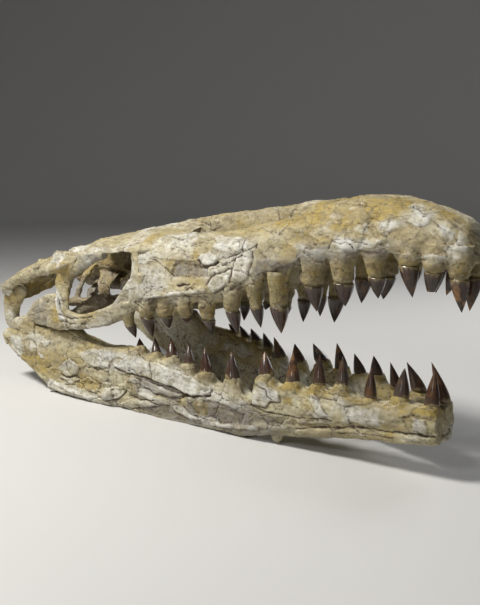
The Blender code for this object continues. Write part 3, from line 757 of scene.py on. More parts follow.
def weathered(points, faces, seed, marks, fibre=0.00035, plates=1.0, ochre=0.0, roof=0.0, lumps=1.0,
              inner=None):
    """Push the evened skin in and out along its normals and work out its four colour masks, with painted
    shade in the dark one and in some grey marks.

    The height is a sum: slow lumps, two sizes of tilted plates with cracks between them, two depths
    of shed layers, fibres along the bone, fine unevenness and the listed marks. Where the finished
    surface is hollow it is darkened, which is painted shade, and its high places are made lighter.
    """
    normal = normals_of(points, faces)
    back, side, up = SNOUT_X - points[:, 0], points[:, 1], points[:, 2]
    long = points / np.array((2.2, 1.0, 1.0))
    height = lumps * (0.0022 * cloud(points, 0.050, seed, 2) + 0.0026 * cloud(long, 0.017, seed + 20, 3))
    warped = points + 0.009 * np.stack([cloud(points, 0.025, seed + k, 4) for k in (1, 2, 3)], axis=1)
    edge, value, tilt = cells(warped, (0.075, 0.045, 0.040), seed + 4)
    calm = soft_step(cloud(points, 0.045, seed + 5, 3), -0.05, 0.40)
    calm = calm * (0.3 + 0.7 * soft_step(back, 0.08, 0.20))
    height += plates * (0.0012 * (value - 0.5) + 0.0028 * tilt)
    crack = calm * (1 - soft_step(edge, 0.0, 0.035))
    height -= plates * 0.0011 * crack
    edge2, value2, tilt2 = cells(warped, (0.024, 0.012, 0.011), seed + 6)
    patch = soft_step(cloud(points, 0.05, seed + 7, 2), -0.20, 0.30)
    height += plates * patch * (0.0008 * (value2 - 0.5) + 0.0015 * tilt2)
    small = patch * (1 - soft_step(edge2, 0.0, 0.10)) * soft_step(cloud(points, 0.02, seed + 15, 2), 0.0, 0.4)
    height -= plates * 0.0006 * small
    shed, foot = np.zeros(len(points)), np.zeros(len(points))
    for size, least, drop in (((0.080, 0.040, 0.040), 0.02, 0.0010), ((0.034, 0.017, 0.017), 0.12, 0.0006)):
        field = cloud(warped, size, seed + 8 + round(1000 * size[0]), 4)
        gone = soft_step(field, least, least + 0.05)
        height -= plates * drop * gone
        shed = np.maximum(shed, gone * drop / 0.0010)
        # Painted shadow: a thin band at the foot of each shed step is darkened below.
        foot += gone * (1 - soft_step(field, least + 0.04, least + 0.10)) * drop / 0.0010
    height += fibre * cloud(points, (0.030, 0.0045, 0.0045), seed + 9, 2)
    height += 0.00035 * cloud(points, 0.0065, seed + 10, 2)
    tinted = warped / np.array((1.7, 1.0, 1.0))
    masks = {
        "ochre": ochre + 0.35 * shed * cloud(tinted, 0.025, seed + 16, 3)
        + 0.80 * soft_step(cloud(tinted, 0.055, seed + 11, 5), -0.05, 0.55),
        "white": 0.75 * soft_step(cloud(tinted, 0.040, seed + 12, 5), -0.10, 0.50) * (1 - 0.8 * shed),
        "grey": 0.15 * shed + 0.85 * soft_step(cloud(tinted, 0.045, seed + 13, 5), 0.0, 0.50),
        "dirt_and_shade": 0.50 * crack * (plates > 0) + 0.30 * small + 0.22 * foot,
    }
    level = soft_step(normal[:, 2], 0.40, 0.9)
    masks["ochre"] += roof * level * (0.5 + 0.8 * cloud(tinted, 0.03, seed + 14, 4))
    walls = [(marks, -1, -1, 0.0, 0.0, 30), (marks, 1, 1, *HIDDEN_SHIFT, 30)]
    if inner:
        walls.append((inner, -1, 1, 0.0, 0.0, 40))
    for chosen, towards, hand, move_back, move_up, step in walls:
        facing = soft_step(towards * normal[:, 1], 0.02, 0.35) * soft_step(hand * side, 0.0, 0.01)
        if np.any(facing > 0):
            more, stains = near_marks(chosen, back + move_back, up + move_up, facing, points, seed + step)
            height += more
            for key in masks:
                masks[key] += stains[key]
    points = points + np.clip(height, DEEPEST, HIGHEST)[:, None] * normal
    # Painted shade: hollows of the finished surface are darkened, and high places are made lighter.
    hollow = np.sum((neighbours_mean(points, faces) - points) * normals_of(points, faces), axis=1)
    hollow = evened(np.stack([hollow] * 2, axis=1), faces, 1)[:, 0]
    masks["dirt_and_shade"] += 0.8 * soft_step(hollow, 0.00007, 0.00040)
    masks["white"] += 0.22 * soft_step(-hollow, 0.00006, 0.00030)
    points = np.clip(points, BOX_LOW, BOX_HIGH)
    return points, {key: np.clip(value, 0.0, 1.0) for key, value in masks.items()}


def add_stain(masks, key, amount):
    """Add to a mask and keep it from 0 to 1."""
    masks[key] = np.clip(masks[key] + amount, 0, 1)


def stain_rim(masks, points, line, out, ochre, dirt_and_shade):
    """Stain the bone from the tooth row's rim outwards to the crowns, where clay stuck longest, and darken it
    there; the darkening is painted shade on the pedestals.
    """
    past = out * (points[:, 2] - read(line, SNOUT_X - points[:, 0]))
    share = soft_step(past, -0.016, 0.006)
    masks["white"] = masks["white"] * (1 - 0.9 * share)
    add_stain(masks, "ochre", ochre * share)
    # Painted shade near the rim.
    add_stain(masks, "dirt_and_shade", dirt_and_shade * share)


# %% [markdown]
# Finishes
#
# One bone finish serves every bone; the braincase and palate get a darker copy of it, which is painted
# shade. It reads the four masks that each piece carries and mixes cream, white, ochre, grey and a dark
# tone for dirt and painted shade, with fine grain and hairline cracks too small for the mesh.


# %% Finish helpers
def new_finish(name):
    """Start a material and give it with its tree and its main shader."""
    item = bpy.data.materials.new(name)
    item.use_nodes = True
    return item, item.node_tree, item.node_tree.nodes["Principled BSDF"]


def node(tree, kind, inputs=(), **settings):
    """Add a node, set its settings, and set or link its inputs by name or number."""
    item = tree.nodes.new(kind)
    for key, value in settings.items():
        setattr(item, key, value)
    for key, value in dict(inputs).items():
        if isinstance(value, bpy.types.NodeSocket):
            tree.links.new(value, item.inputs[key])
        else:
            item.inputs[key].default_value = value
    return item


def blend_colour(tree, share, one, other):
    """Mix two colours by a share."""
    return node(tree, "ShaderNodeMix", {0: share, 6: one, 7: other}, data_type="RGBA").outputs[2]


def sums(tree, kind, one, other):
    """One arithmetic step, held between 0 and 1."""
    return node(tree, "ShaderNodeMath", {0: one, 1: other}, operation=kind, use_clamp=True).outputs[0]


def product(tree, one, other):
    """Multiply, held between 0 and 1."""
    return sums(tree, "MULTIPLY", one, other)


def mask_of(tree, key):
    """Read one of the piece's own masks."""
    return node(tree, "ShaderNodeAttribute", attribute_name=key).outputs["Fac"]


def vector_step(tree, kind, one, other):
    """One step of arithmetic on places."""
    return node(tree, "ShaderNodeVectorMath", {0: one, 1: other}, operation=kind).outputs[0]


def span(tree, value, low, high):
    """Spread low..high to 0..1 with soft ends."""
    return node(tree, "ShaderNodeMapRange", {"Value": value, "From Min": low, "From Max": high},
                interpolation_type="SMOOTHSTEP").outputs[0]


def solid_noise(tree, where, scale, detail=6.0, rough=0.6):
    """Noise through the body of the piece."""
    return node(tree, "ShaderNodeTexNoise", {"Vector": where, "Scale": scale, "Detail": detail,
                                             "Roughness": rough}).outputs["Fac"]


# %% Bone finish
UNDER_LAYER = (0.30, 0.24, 0.125, 1)
# GREY is the bone's grey tone, and on some placed marks it is painted shade.
GREY = (0.25, 0.228, 0.195, 1)
OCHRE = (0.39, 0.285, 0.080, 1)
WHITE = (0.70, 0.69, 0.63, 1)
CLEAN_WHITE = (0.58, 0.565, 0.49, 1)
PORE = (0.16, 0.125, 0.058, 1)
CHIP = (0.22, 0.16, 0.08, 1)
# The dark tone for dirt and cracks, and for painted shade in hollows, under plate and step edges, in dents
# and near the tooth rims.
DIRT_AND_SHADE = (0.075, 0.050, 0.032, 1)


def stretched(tree, where, along):
    """Shorten the place along the bone, so that noise read there is drawn out."""
    return vector_step(tree, "MULTIPLY", where, (along, 1.0, 1.0))


def hairlines(tree, where, scale, width, low, high):
    """Thin lines on the borders between bent cells, broken off where a slow noise is low."""
    bend = node(tree, "ShaderNodeTexNoise", {"Vector": where, "Scale": 1.3 * scale, "Detail": 4.0})
    bend = vector_step(tree, "SUBTRACT", bend.outputs["Color"], (0.5, 0.5, 0.5))
    bend = node(tree, "ShaderNodeVectorMath", {0: bend, "Scale": 0.55 / scale}, operation="SCALE").outputs[0]
    away = node(tree, "ShaderNodeTexVoronoi", {
        "Vector": vector_step(tree, "ADD", where, bend), "Scale": scale, "Randomness": 1.0},
        feature="DISTANCE_TO_EDGE").outputs["Distance"]
    line = sums(tree, "SUBTRACT", 1.0, span(tree, away, 0.0, width))
    return product(tree, line, span(tree, solid_noise(tree, where, 0.6 * scale, 3.0), low, high))


def bone_finish(name, cream, tan):
    """Cream bone with tan clouds, shed flakes and fibres, then grey, ochre, white, and dirt with painted
    shade, by mask.
    """
    item, tree, shader = new_finish(name)
    where = node(tree, "ShaderNodeTexCoord").outputs["Object"]
    long = stretched(tree, where, 0.45)
    grain = solid_noise(tree, where, 260.0, 5.0, 0.7)
    mottle = solid_noise(tree, where, 85.0, 6.0, 0.7)
    clouds = solid_noise(tree, long, 24.0, 7.0, 0.68)
    fibre = solid_noise(tree, stretched(tree, where, 0.11), 210.0, 3.0, 0.6)
    shed = span(tree, solid_noise(tree, long, 50.0, 9.0, 0.62), 0.505, 0.535)
    chips = span(tree, solid_noise(tree, where, 130.0, 5.0, 0.6), 0.575, 0.605)
    hair = sums(tree, "MAXIMUM", hairlines(tree, where, 27.0, 0.016, 0.55, 0.64),
                product(tree, hairlines(tree, where, 85.0, 0.05, 0.58, 0.67), 0.6))
    colour = blend_colour(tree, span(tree, clouds, 0.32, 0.70), cream, tan)
    under = blend_colour(tree, 0.50, colour, UNDER_LAYER)
    colour = blend_colour(tree, product(tree, shed, 0.75), colour, under)
    for key, tone in (("grey", GREY), ("ochre", OCHRE), ("white", WHITE)):
        patchy = node(tree, "ShaderNodeMapRange", {
            "Value": mottle, "From Min": 0.32, "From Max": 0.66, "To Min": 0.25, "To Max": 1.45}).outputs[0]
        stain = product(tree, mask_of(tree, key), patchy)
        colour = blend_colour(tree, stain, colour, tone)
    for value, low, high, share in ((grain, 0.33, 0.50, 0.36), (mottle, 0.36, 0.54, 0.36),
                                    (fibre, 0.34, 0.50, 0.26)):
        darker = blend_colour(tree, share, colour, PORE)
        colour = blend_colour(tree, span(tree, value, low, high), darker, colour)
    colour = blend_colour(tree, product(tree, chips, 0.30), colour, CHIP)
    # the loop ended with the white stain; here it covers part of the pores again
    colour = blend_colour(tree, product(tree, stain, 0.45), colour, CLEAN_WHITE)
    # Dirt and painted shade from the mask, with the hairline cracks.
    dirt_and_shade = sums(tree, "MAXIMUM", mask_of(tree, "dirt_and_shade"), product(tree, hair, 0.65))
    colour = blend_colour(tree, dirt_and_shade, colour, DIRT_AND_SHADE)
    tree.links.new(colour, shader.inputs["Base Color"])
    shader.inputs["Roughness"].default_value = 0.64
    shader.inputs["Specular IOR Level"].default_value = 0.30
    steps = sums(tree, "SUBTRACT", 1.0, product(tree, shed, 0.55))
    steps = sums(tree, "SUBTRACT", steps, product(tree, sums(tree, "MAXIMUM", hair, chips), 0.40))
    edges = node(tree, "ShaderNodeBump", {"Strength": 1.0, "Distance": 0.0011, "Height": steps})
    relief = sums(tree, "ADD", product(tree, grain, 0.30), product(tree, mottle, 0.45))
    relief = sums(tree, "ADD", relief, product(tree, fibre, 0.25))
    bump = node(tree, "ShaderNodeBump", {"Strength": 0.80, "Distance": 0.0017, "Height": relief,
                                         "Normal": edges.outputs[0]})
    tree.links.new(bump.outputs[0], shader.inputs["Normal"])
    return item


CRANIUM_BONE = bone_finish("cracked_cranium_bone", (0.60, 0.55, 0.385, 1), (0.38, 0.325, 0.18, 1))
JAW_BONE = bone_finish("flaking_jaw_bone", (0.66, 0.615, 0.435, 1), (0.43, 0.375, 0.205, 1))
# A darker copy of the bone finish for the braincase and palate, seen in shade through the openings: painted
# shade.
SHADED_INNER_BONE = bone_finish("shaded_inner_bone", (0.30, 0.25, 0.18, 1), (0.19, 0.145, 0.09, 1))
ROOT_BONE = bone_finish("tan_tooth_root", (0.38, 0.33, 0.18, 1), (0.25, 0.205, 0.10, 1))


def crown_finish():
    """Dark maroon to brown enamel, orange where it is worn, with fine ridges down the crown.

    The ridges follow the piece's own `turn` (round the crown); `worn` marks the orange parts, `rise`
    runs from the crown's edge to its point, and `shade` differs from tooth to tooth.
    """
    item, tree, shader = new_finish("ridged_tooth_enamel")
    where = node(tree, "ShaderNodeTexCoord").outputs["Object"]
    blotch = solid_noise(tree, where, 60.0, 6.0, 0.65)
    turn, rise, worn, shade = (mask_of(tree, key) for key in ("turn", "rise", "worn", "shade"))
    stripe = node(tree, "ShaderNodeMath", {0: turn, 1: 17.0}, operation="MULTIPLY").outputs[0]
    streak = node(tree, "ShaderNodeCombineXYZ", {"X": stripe, "Y": rise, "Z": shade}).outputs[0]
    streak = solid_noise(tree, streak, 2.2, 3.0)
    ragged = node(tree, "ShaderNodeMath", {0: blotch, 1: 0.90, 2: rise}, operation="MULTIPLY_ADD").outputs[0]
    colour = blend_colour(tree, span(tree, streak, 0.35, 0.68), (0.014, 0.007, 0.006, 1),
                          (0.090, 0.040, 0.022, 1))
    for share, tone in (
            (product(tree, shade, span(tree, blotch, 0.35, 0.6)), (0.055, 0.042, 0.033, 1)),
            (product(tree, span(tree, rise, 0.35, 0.0), 0.45), (0.12, 0.085, 0.060, 1)),
            (product(tree, span(tree, rise, 0.45, 1.0), 0.6), (0.018, 0.010, 0.010, 1)),
            (product(tree, worn, span(tree, blotch, 0.30, 0.55)), (0.36, 0.18, 0.060, 1)),
            (span(tree, ragged, 0.54, 0.47), (0.22, 0.17, 0.085, 1))):
        colour = blend_colour(tree, share, colour, tone)
    tree.links.new(colour, shader.inputs["Base Color"])
    for key, value in (("Roughness", 0.24), ("Specular IOR Level", 0.10), ("Coat Weight", 0.75),
                       ("Coat Roughness", 0.10)):
        shader.inputs[key].default_value = value
    bump = node(tree, "ShaderNodeBump", {"Strength": 0.70, "Distance": 0.0008, "Height": streak})
    tree.links.new(bump.outputs[0], shader.inputs["Normal"])
    return item


CROWN = crown_finish()
print("finishes", [item.name for item in (CRANIUM_BONE, JAW_BONE, SHADED_INNER_BONE, ROOT_BONE, CROWN)])


# %% Make a piece
MOST_TRIANGLES = 180000
CRANIUM_VOXEL = 0.0017


def triangles_of(item):
    """Count an object's triangles."""
    item.data.calc_loop_triangles()
    return len(item.data.loop_triangles)


def thinned(item, triangles):
    """Merge points where the skin is nearly flat until it has at most MOST_TRIANGLES triangles."""
    item.modifiers.new("thinning", "DECIMATE").ratio = MOST_TRIANGLES / triangles
    shape = item.evaluated_get(bpy.context.evaluated_depsgraph_get())
    full, fresh = item.data, bpy.data.meshes.new_from_object(shape)
    item.modifiers.clear()
    item.data = fresh
    bpy.data.meshes.remove(full)
    fresh.name = item.name


def add_piece(name, points, faces, masks, finishes, replaced, finish_index=None):
    """Make the mesh object, give it masks and finishes, ride it on the body and hide what it replaces.
    Gives its number of triangles."""
    mesh = mesh_from(name, points, faces if isinstance(faces, list) else faces.tolist())
    mesh.shade_smooth()
    for key, value in masks.items():
        mesh.attributes.new(key, "FLOAT", "POINT").data.foreach_set("value", value.astype(np.float32))
    for finish in finishes:
        mesh.materials.append(finish)
    if finish_index is not None:
        mesh.polygons.foreach_set("material_index", finish_index)
    item = put_in_scene(name, mesh)
    if triangles_of(item) > MOST_TRIANGLES:
        thinned(item, triangles_of(item))
    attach(item, "root")
    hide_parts(*replaced)
    return triangles_of(item)


# %% [markdown]
# The snout, dressed
#
# The near wall carries the long crack from the roof to the tooth row, pale plates that stand proud of
# the dull bone round them, and the dark slot where a nerve came out. The tip is bright ochre.

# %% Snout marks and piece
SNOUT_MARKS = {
    "cracks": [
        (pairs(526, 262, 510, 259, 497, 253, 485, 248, 473, 240), 0.0018, 0.0022),
        (pairs(421, 266, 418, 256, 405, 256, 395, 260, 384, 266), 0.0022, 0.0035),
        (pairs(378, 274, 365, 275, 350, 280, 335, 286, 318, 293, 311, 297), 0.0016, 0.002),
        (pairs(386, 249, 378, 250, 365, 256, 355, 259), 0.0016, 0.0022),
        (pairs(351, 279, 352, 270, 354, 258, 355, 245, 357, 238), 0.0022, 0.0035),
        (pairs(320, 285, 321, 268, 322, 250), 0.0016, 0.002),
        (pairs(400, 232, 392, 243, 385, 247), 0.0018, 0.0024),
        (pairs(358, 237, 366, 230, 376, 224, 386, 219), 0.0018, 0.0024),
        (pairs(524, 193, 515, 198, 505, 201, 490, 204, 477, 205), 0.002, 0.0028),
        (pairs(555, 258, 535, 260), 0.0015, 0.0014),
        (pairs(190, 300, 187, 310, 178, 309, 170, 307, 163, 309, 155, 307, 152, 300), 0.0018, 0.0024),
        (pairs(457, 225, 445, 228, 433, 229), 0.0024, 0.005),
        (pairs(212, 303, 216, 303), 0.0019, 0.004),
        (pairs(315, 292, 315, 298), 0.0024, 0.004),
        (pairs(202, 317, 208, 317), 0.0018, 0.003),
        (pairs(54, 342, 40, 334, 26, 326, 14, 310), 0.001, 0.0004),
        (pairs(50, 346, 30, 340, 14, 328, 4, 312), 0.001, 0.0004),
        (pairs(46, 326, 34, 318, 22, 306, 16, 292), 0.001, 0.0004),
        (pairs(34, 346, 14, 332, 4, 318), 0.001, 0.0004),
        (pairs(182, 312, 158, 314, 128, 308), 0.0014, 0.0012),
    ],
    "plates": [
        (pairs(425, 268, 420, 275, 405, 280, 390, 277, 384, 270, 390, 262, 410, 258), 0.0018, 1.0),
        (pairs(400, 285, 400, 300, 360, 307, 330, 303, 333, 289, 360, 281), 0.0007, 0.5),
        (pairs(535, 285, 520, 300, 470, 302, 445, 297, 440, 285, 435, 265, 460, 262, 500, 262, 525, 265),
               0.001, 0.35),
        (pairs(398, 232, 378, 248, 357, 250, 357, 235, 385, 218), 0.0016, 0.6),
        (pairs(352, 278, 325, 290, 322, 250, 335, 240, 350, 240), 0.0009, 0.4),
        (pairs(522, 202, 460, 215, 400, 226, 398, 220, 460, 209, 520, 197), 0.0014, 0.6),
    ],
    # The last number of each dent darkens it: painted shade.
    "dents": [
        (pairs(420, 254, 400, 256, 395, 262, 412, 262), 0.0015, 0.7),
        (pairs(480, 238, 470, 260, 440, 263, 400, 256, 395, 242, 440, 236), 0.003, 0.0),
        (pairs(355, 225, 352, 238, 336, 240, 335, 227), 0.0015, 0.6),
        (pairs(152, 294, 148, 302, 115, 302, 111, 296), 0.0012, 0.6),
        (pairs(520, 175, 520, 200, 500, 200, 500, 178), 0.001, 0.5),
        (pairs(305, 240, 302, 257, 275, 266, 250, 277, 235, 284, 232, 262, 260, 240), 0.004, 0.15),
        (pairs(520, 188, 510, 200, 420, 214, 370, 222, 370, 205, 440, 192, 500, 178), 0.0025, 0.1),
    ],
    "ochre": [
        (pairs(240, 270, 240, 360, 0, 360, 0, 270), 0.45, 0.02),
        (pairs(270, 270, 270, 315, 245, 318, 240, 275), 0.8, 0.008),
        (pairs(235, 315, 225, 320, 205, 315, 195, 312, 205, 321, 225, 325), 0.9, 0.003),
        (pairs(50, 350, 42, 354, 26, 348, 30, 341), 1.0, 0.003),
        (pairs(206, 350, 170, 366, 100, 366, 92, 352, 130, 345, 174, 344), 0.7, 0.009),
        (pairs(300, 310, 300, 345, 250, 355, 240, 330), 0.5, 0.01),
        (pairs(218, 322, 198, 322, 190, 312, 208, 308), 0.8, 0.004),
        (pairs(420, 300, 420, 335, 300, 345, 300, 315), 0.35, 0.012),
        (pairs(90, 285, 90, 305, 60, 305, 50, 285), 0.5, 0.006),
        (pairs(560, 270, 560, 300, 530, 300, 530, 270), 0.5, 0.008),
    ],
    # The last two grey outlines, above the pedestals, are painted shade under the overhanging wall.
    "grey": [
        (pairs(470, 240, 470, 262, 420, 266, 400, 255, 400, 240), 0.9, 0.005),
        (pairs(560, 200, 560, 235, 500, 240, 480, 210, 530, 190), 0.5, 0.01),
        (pairs(110, 290, 110, 325, 60, 322, 60, 295), 0.5, 0.01),
        (pairs(330, 250, 320, 272, 250, 285, 235, 262), 1.0, 0.012),
        (pairs(250, 268, 240, 298, 170, 302, 110, 306, 110, 288, 170, 282), 1.0, 0.008),
    ],
    "white": [
        (pairs(560, 200, 560, 250, 490, 250, 480, 220, 520, 200), 0.45, 0.012),
        (pairs(400, 240, 400, 300, 320, 300, 320, 245), 0.4, 0.01),
        (pairs(46, 338, 38, 341, 24, 326, 28, 319, 38, 328), 0.9, 0.0025),
        (pairs(120, 337, 104, 341, 88, 340, 88, 333, 104, 328, 116, 330), 0.9, 0.004),
        (pairs(182, 312, 158, 317, 128, 313, 130, 305, 150, 297, 176, 303), 0.8, 0.004),
        (pairs(90, 357, 78, 360, 56, 351, 56, 344, 74, 348), 0.6, 0.004),
    ],
}
forms = [snout_form()]
for hand in (1, -1):
    forms += pedestals(UPPER_TEETH, TOOTH_LINE, SNOUT_WIDTH, UPPER_INSET, hand, 0.84, 1.10, 0.78)
points, faces = grown(forms, CRANIUM_VOXEL, 4)
points, masks = weathered(points, faces, 11, SNOUT_MARKS, roof=0.7)
# Clay ochre at the rim, and painted shade under the snout's wall.
stain_rim(masks, points, TOOTH_LINE, -1, 0.45, 0.25)
back, aside = SNOUT_X - points[:, 0], np.abs(points[:, 1])
# Along the groove beside the nostril bar: an ochre tint, and from 0.30 back a darkening that is painted shade
# in the groove.
groove = np.exp(-(((aside - 0.031) / 0.011) ** 2)) * (points[:, 2] > 0.27)
groove *= soft_step(back, 0.24, 0.32) * soft_step(-back, -0.535, -0.505)
add_stain(masks, "ochre", 0.5 * groove)
add_stain(masks, "dirt_and_shade", 0.35 * groove * soft_step(back, 0.30, 0.42))
count = add_piece("snout_skin", points, faces, masks, [CRANIUM_BONE], ["cranium"])
print("snout", count, "triangles")

# %% [markdown]
# The roof, cheeks, braincase and palate, dressed
#
# Behind the snout the bars are worn and knobbly. The cheek plate is cracked, orange in front and grey
# behind, and a white edge runs down the bar in front of it.

# %% Roof, cheeks and middle pieces
CHEEK_MARKS = {
    "cracks": [
        (pairs(722, 151, 700, 147, 670, 149, 640, 156), 0.0016, 0.002),
        (pairs(720, 140, 690, 138, 655, 141), 0.0014, 0.0016),
        (pairs(762, 168, 790, 158, 815, 148), 0.0011, 0.0008),
        (pairs(768, 152, 800, 143, 832, 133), 0.001, 0.0007),
    ],
    "plates": [
        (pairs(728, 180, 722, 165, 706, 142, 702, 124, 774, 119, 764, 140, 745, 172), 0.0018, 0.0),
    ],
    "ochre": [
        (pairs(712, 140, 718, 158, 735, 166, 752, 148, 740, 130), 1.0, 0.004),
        (pairs(750, 195, 745, 228, 715, 236, 710, 205), 0.8, 0.006),
        (pairs(705, 160, 708, 235, 695, 240, 690, 160), 0.6, 0.004),
    ],
    "grey": [
        (pairs(770, 120, 765, 165, 810, 160, 840, 135, 840, 120), 0.6, 0.006),
    ],
    "white": [
        (pairs(745, 240, 745, 262, 710, 258, 710, 238), 0.7, 0.004),
        (pairs(738, 192, 726, 192, 710, 142, 722, 140), 1.0, 0.002),
    ],
}
points, faces = grown(ROOF_FORMS, CRANIUM_VOXEL, 4)
points, masks = weathered(points, faces, 23, CHEEK_MARKS, plates=0.8, roof=0.5, lumps=1.1)
temple = soft_step(SNOUT_X - points[:, 0], 0.74, 0.78) * soft_step(-np.abs(points[:, 1]), -0.150, -0.138)
add_stain(masks, "ochre", 0.8 * temple * (points[:, 2] < 0.235))
count = add_piece("roof_and_cheek_skin", points, faces, masks, [CRANIUM_BONE], ["cranium"])
print("roof and cheeks", count, "triangles")
points, faces = grown(MIDDLE_FORMS, 0.0020, 3)
points, masks = weathered(points, faces, 37, {}, plates=1.3, ochre=0.15, lumps=1.7)
count = add_piece("braincase_and_palate_skin", points, faces, masks, [SHADED_INNER_BONE], ["cranium"])
print("braincase and palate", count, "triangles")

# %% [markdown]
# The jaws, dressed
#
# The near jaw has a big white plate along its rear half with a deep ledge under it, smooth pale bone
# in front and long grooves along the lower edge. What shows of the far jaw is its inner face, yellow
# with clay.

# %% Jaw marks and pieces
JAW_MARKS = {
    "cracks": [
        (pairs(45, 62, 80, 60, 100, 58, 130, 56, 160, 53, 185, 48, 210, 44), 0.0018, 0.0018),
        (pairs(100, 50, 130, 48, 150, 46, 180, 40), 0.0016, 0.0014),
        (pairs(325, 56, 300, 51, 270, 50, 245, 50, 225, 54, 210, 56, 190, 57), 0.002, 0.0024),
        (pairs(260, 32, 240, 35, 225, 41, 200, 45), 0.002, 0.0024),
        (pairs(315, 88, 298, 84, 295, 75, 285, 71), 0.0016, 0.0018),
        (pairs(600, 71, 585, 66, 570, 65, 550, 67, 530, 64, 510, 60, 490, 58, 465, 56, 450, 51, 430, 51, 400,
               57), 0.0024, 0.0042),
        (pairs(523, 94, 520, 78, 517, 64), 0.0017, 0.0022),
        (pairs(480, 40, 460, 46, 440, 50), 0.0018, 0.0022),
        (pairs(470, 35, 455, 34, 450, 31), 0.0018, 0.0022),
        (pairs(625, 8, 600, 16, 585, 27, 582, 33), 0.002, 0.0026),
        (pairs(575, 26, 550, 25, 530, 27, 515, 30), 0.0018, 0.002),
        (pairs(742, 37, 730, 34, 715, 36, 705, 39, 697, 45), 0.0018, 0.0022),
        (pairs(725, 22, 700, 25), 0.0018, 0.002),
        (pairs(785, 42, 775, 45, 765, 50), 0.0016, 0.0018),
    ],
    "plates": [
        (pairs(72, 66, 70, 83, 55, 84, 51, 74, 55, 63), 0.001, 0.9),
        (pairs(224, 91, 214, 90, 203, 75, 193, 63, 203, 60, 213, 66, 222, 80), 0.0018, 0.9),
        (pairs(322, 80, 317, 96, 297, 96, 293, 88, 275, 83, 272, 71, 290, 68, 297, 58, 322, 57), 0.0018, 0.8),
        (pairs(600, 75, 575, 95, 550, 100, 530, 92, 522, 93, 515, 93, 490, 90, 460, 85, 430, 78, 400, 68, 400,
               58, 430, 53, 450, 53, 465, 58, 510, 62, 530, 66, 570, 67, 600, 73), 0.002, 0.8),
        (pairs(575, 52, 572, 60, 550, 60, 548, 51), 0.0016, 0.7),
        (pairs(558, 42, 524, 44, 494, 34, 484, 26, 506, 23, 538, 30, 556, 34), 0.0018, 0.6),
        (pairs(462, 42, 444, 46, 434, 34, 424, 22, 434, 20, 456, 32), 0.0018, 0.25),
        (pairs(542, 62, 512, 55, 480, 50, 448, 50, 460, 43, 482, 40, 514, 42, 540, 49), 0.0022, 0.15),
        (pairs(600, 8, 568, 22, 526, 26, 506, 21, 532, 14, 568, 7), 0.0016, 0.35),
        (pairs(482, 27, 460, 29, 440, 24, 420, 14, 425, 11, 450, 13, 475, 18), 0.0018, 0.9),
        (pairs(630, 12, 628, 33, 600, 36, 582, 33, 587, 25, 602, 14), 0.0014, 0.6),
        (pairs(400, 7, 400, 14, 310, 26, 310, 19), 0.0012, 0.5),
        (pairs(245, 42, 200, 50, 200, 54, 245, 47), 0.001, 0.5),
        (pairs(770, 19, 770, 25, 700, 16, 660, 10, 660, 4), 0.0012, 0.6),
        (pairs(744, 50, 712, 72, 686, 60, 696, 44, 726, 36), 0.0022, 0.5),
        (pairs(748, 30, 726, 36, 690, 38, 706, 25), 0.0016, 0.3),
        (pairs(690, 34, 662, 46, 640, 34, 640, 21, 664, 22), 0.002, 0.0),
        (pairs(686, 86, 656, 96, 616, 99, 610, 86, 616, 68, 652, 66, 678, 70), 0.001, 0.55),
    ],
    # The last number of each dent darkens it: painted shade.
    "dents": [
        (pairs(555, 36, 560, 64, 500, 60, 440, 54, 460, 34), 0.0022, 0.15),
        (pairs(850, 52, 850, 88, 810, 90, 800, 60), 0.0018, 0.1),
        (pairs(415, 49, 400, 52, 360, 47, 335, 40, 340, 22, 380, 14, 410, 22), 0.003, 0.3),
        (pairs(560, 4, 560, 18, 480, 22, 430, 12, 430, 2), 0.001, 0.25),
    ],
    "ochre": [
        (pairs(300, 85, 300, 100, 40, 115, 40, 92, 170, 90), 0.7, 0.005),
        (pairs(240, 30, 240, 100, 40, 100, 40, 40), 0.35, 0.015),
        (pairs(270, 68, 270, 78, 255, 77, 255, 67), 0.9, 0.003),
        (pairs(430, 20, 430, 45, 405, 45, 405, 22), 1.6, 0.004),
        (pairs(690, 22, 690, 46, 638, 46, 638, 20), 0.8, 0.005),
        (pairs(465, 32, 465, 44, 440, 44, 440, 32), 1.4, 0.003),
        (pairs(860, 50, 860, 90, 800, 90, 800, 55), 0.5, 0.008),
        (pairs(780, 60, 780, 100, 620, 100, 620, 60), 0.25, 0.01),
    ],
    # The first grey outline, over the lower middle of the jaw, is painted shade.
    "grey": [
        (pairs(560, 0, 520, 30, 440, 50, 330, 50, 260, 35, 300, 0), 0.9, 0.014),
        (pairs(550, 40, 550, 66, 440, 58, 460, 40), 1.0, 0.004),
        (pairs(170, 60, 170, 85, 90, 88, 90, 62), 0.5, 0.006),
        (pairs(400, 30, 400, 60, 330, 60, 330, 30), 0.4, 0.008),
    ],
    "white": [
        (pairs(170, 62, 170, 80, 120, 84, 120, 64), 0.5, 0.005),
        (pairs(896, 88, 858, 90, 854, 62, 872, 46, 900, 66), 0.8, 0.005),
        (pairs(786, 0, 786, 22, 684, 19, 640, 14, 610, 0), 0.6, 0.003),
    ],
}
INNER_MARKS = {
    "ochre": [
        (pairs(642, 60, 608, 100, 556, 112, 470, 104, 410, 100, 410, 70, 520, 55, 610, 55), 1.0, 0.006),
        (pairs(400, 70, 400, 110, 50, 120, 50, 80), 0.5, 0.008),
    ],
}
